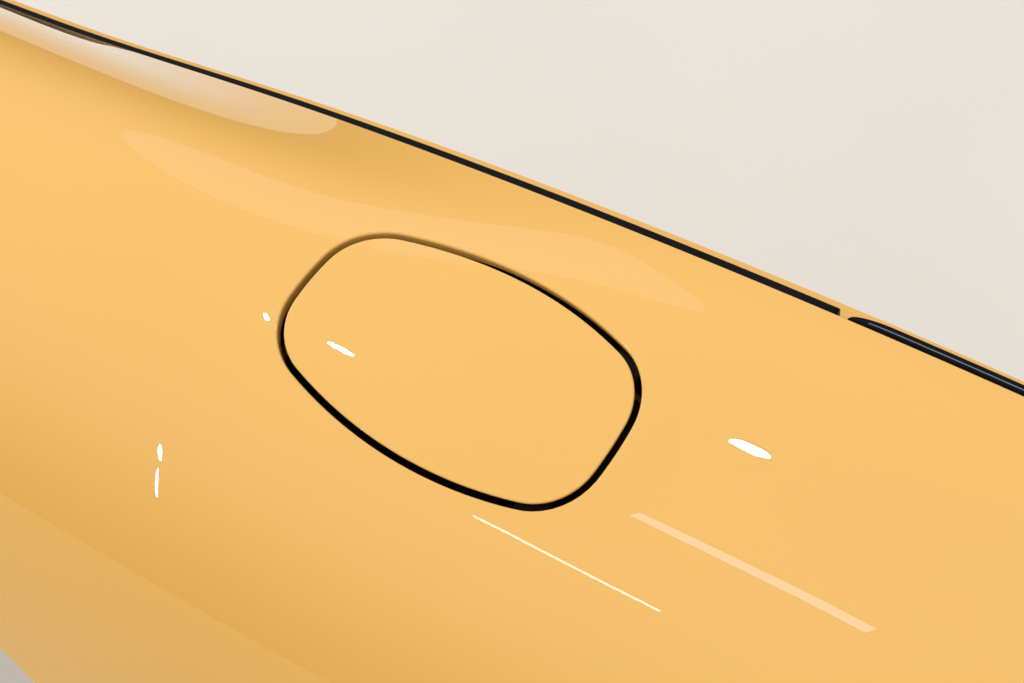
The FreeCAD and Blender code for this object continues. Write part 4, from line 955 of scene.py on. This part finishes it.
ahead = np.array([-math.sin(ROUND) * math.cos(TILT), math.cos(ROUND) * math.cos(TILT), -math.sin(TILT)])
rightwards = np.array([math.cos(ROUND), math.sin(ROUND), 0.0])
upwards = np.cross(rightwards, ahead)
camera_data = bpy.data.cameras.new("view")
camera_data.sensor_width = SENSOR_WIDTH
camera_data.lens = FOCAL_PIXELS * SENSOR_WIDTH / WIDTH_PIXELS
camera_data.clip_start = 0.05
camera = bpy.data.objects.new("view", camera_data)
camera.matrix_world = placed(rightwards, upwards, -ahead, CAMERA_PLACE)
bpy.context.scene.collection.objects.link(camera)
bpy.context.scene.camera = camera

# Floor, half a millimetre under the wing
FLOOR_Z, FLOOR_REACH = float(cad_box[0][2]) - 0.0005, 9
floor_mesh = bpy.data.meshes.new("floor")
floor_mesh.from_pydata([
    (x * FLOOR_REACH, y * FLOOR_REACH, FLOOR_Z) for x, y in ((-1, -1), (1, -1), (1, 1), (-1, 1))
], [], [(0, 1, 2, 3)])
floor = bpy.data.objects.new("floor", floor_mesh)
bpy.context.scene.collection.objects.link(floor)
floor_mesh.materials.append(finish(
    "painted_floor", {"Roughness": 0.7, "IOR": 1.45}, ("#E7E5E1", "#EBE9E5"), 0.6, 0.002, 0.00002
))

# Studio: a pale ceiling that eases into darker, warmer walls, lit so that a colour renders about as written
BRIGHTEST_TOWARDS, ROOM_STRENGTH = (-0.15, -0.10, 0.98), 1.31
bpy.context.scene.view_settings.view_transform = "Standard"
world = bpy.data.worlds.new("studio")
bpy.context.scene.world = world
world.use_nodes = True
tree = world.node_tree
tree.nodes.clear()
sky = node(tree, "ShaderNodeTexCoord")
height = node(
    tree, "ShaderNodeVectorMath", {"operation": "DOT_PRODUCT", 1: BRIGHTEST_TOWARDS}, {0: (sky, "Generated")}
)
walls = ramp(tree, (height, "Value"), (0.05, 0.95), ("#6E5F4D", "#FFFCF7"))
walls.color_ramp.interpolation = "EASE"
room = node(tree, "ShaderNodeBackground", {"Strength": ROOM_STRENGTH}, {"Color": (walls, "Color")})
node(tree, "ShaderNodeOutputWorld", {}, {"Surface": (room, "Background")})


def softbox(name, place, aim, along, wide, high, radiance, colour, shape="ELLIPSE"):
    """A lamp at a place, turned to face a point, as bright as a surface of that radiance; high runs along."""
    lamp_data = bpy.data.lights.new(name, "AREA")
    lamp_data.shape = shape
    lamp_data.size, lamp_data.size_y = wide, high
    lamp_data.energy = radiance * math.pi * wide * high
    lamp_data.color = linear(colour)[:3]
    lamp = bpy.data.objects.new(name, lamp_data)
    back = unit(np.array(place, float) - np.array(aim, float))
    side = unit(np.cross(along, back))
    lamp.matrix_world = placed(side, np.cross(back, side), back, place)
    bpy.context.scene.collection.objects.link(lamp)
    return lamp


softbox("front_fill", (-3.4, -0.3, 1.7), (-0.5, 0.1, 0.2), (0.0, 0.0, 1.0), 1.8, 1.4, 2.0, "#FFF3E2", "RECTANGLE")

# Small lamps for the photo's glints, each out from its glint's place on the panel, in the direction mirrored to
# the camera: place, direction, long axis; wide, high, radiance, colour
SPOT_REACH, WHITE = 0.6, "#FFFFFF"
SPOTS = {
    "spot_front": ((-0.3922, 0.1196, 0.3480), (-0.3868, -0.0984, 0.9169), (0.747, -0.617, 0.249),
                   0.0090, 0.019, 150.0, WHITE),
    "spot_ahead": ((-0.4355, 0.1168, 0.3487), (-0.3940, -0.0886, 0.9149), (0.268, -0.963, 0.022),
                   0.0030, 0.016, 150.0, WHITE),
    "spot_rear": ((-0.1865, 0.1548, 0.3692), (-0.4145, -0.2717, 0.8686), (0.700, -0.706, 0.113),
                  0.0036, 0.033, 150.0, WHITE),
    "spot_side_high": ((-0.4496, 0.0447, 0.3076), (-0.3986, -0.7152, 0.5741), (0.047, -0.641, -0.766),
                       0.0030, 0.055, 80.0, WHITE),
    "spot_side_low": ((-0.4452, 0.0349, 0.2979), (-0.4024, -0.8010, 0.4432), (0.036, -0.497, -0.867),
                      0.0018, 0.100, 80.0, WHITE),
    "tube_rear": ((-0.1584, 0.1094, 0.3470), (-0.3501, -0.3163, 0.8817), (0.872, -0.453, 0.184),
                  0.0084, 0.146, 4.6, "#E6D9FF"),
    "tube_side": ((-0.2383, 0.0810, 0.3278), (-0.3494, -0.4361, 0.8293), (0.908, -0.376, 0.185),
                  0.0050, 0.111, 12.0, "#F4EEFF"),
}
for name, (seen_at, towards, *rest) in SPOTS.items():
    place = np.array(seen_at) + SPOT_REACH * np.array(towards)
    spot = softbox(name, place, seen_at, *rest, "RECTANGLE" if name.startswith("tube") else "ELLIPSE")
    spot.visible_camera = False

# The window that the panel mirrors as a soft pale patch: three strips of growing width on one another
WINDOW_PLACE, WINDOW_AIM, WINDOW_ALONG = (-1.93, 1.676, 2.433), (-0.312, 0.210, 0.375), (0.170, -0.737, 0.654)
for wide in (0.07, 0.14, 0.22):
    softbox(f"window_strip_{wide:.2f}", WINDOW_PLACE, WINDOW_AIM, WINDOW_ALONG, wide, 1.3, 0.55, "#BCD9FF")
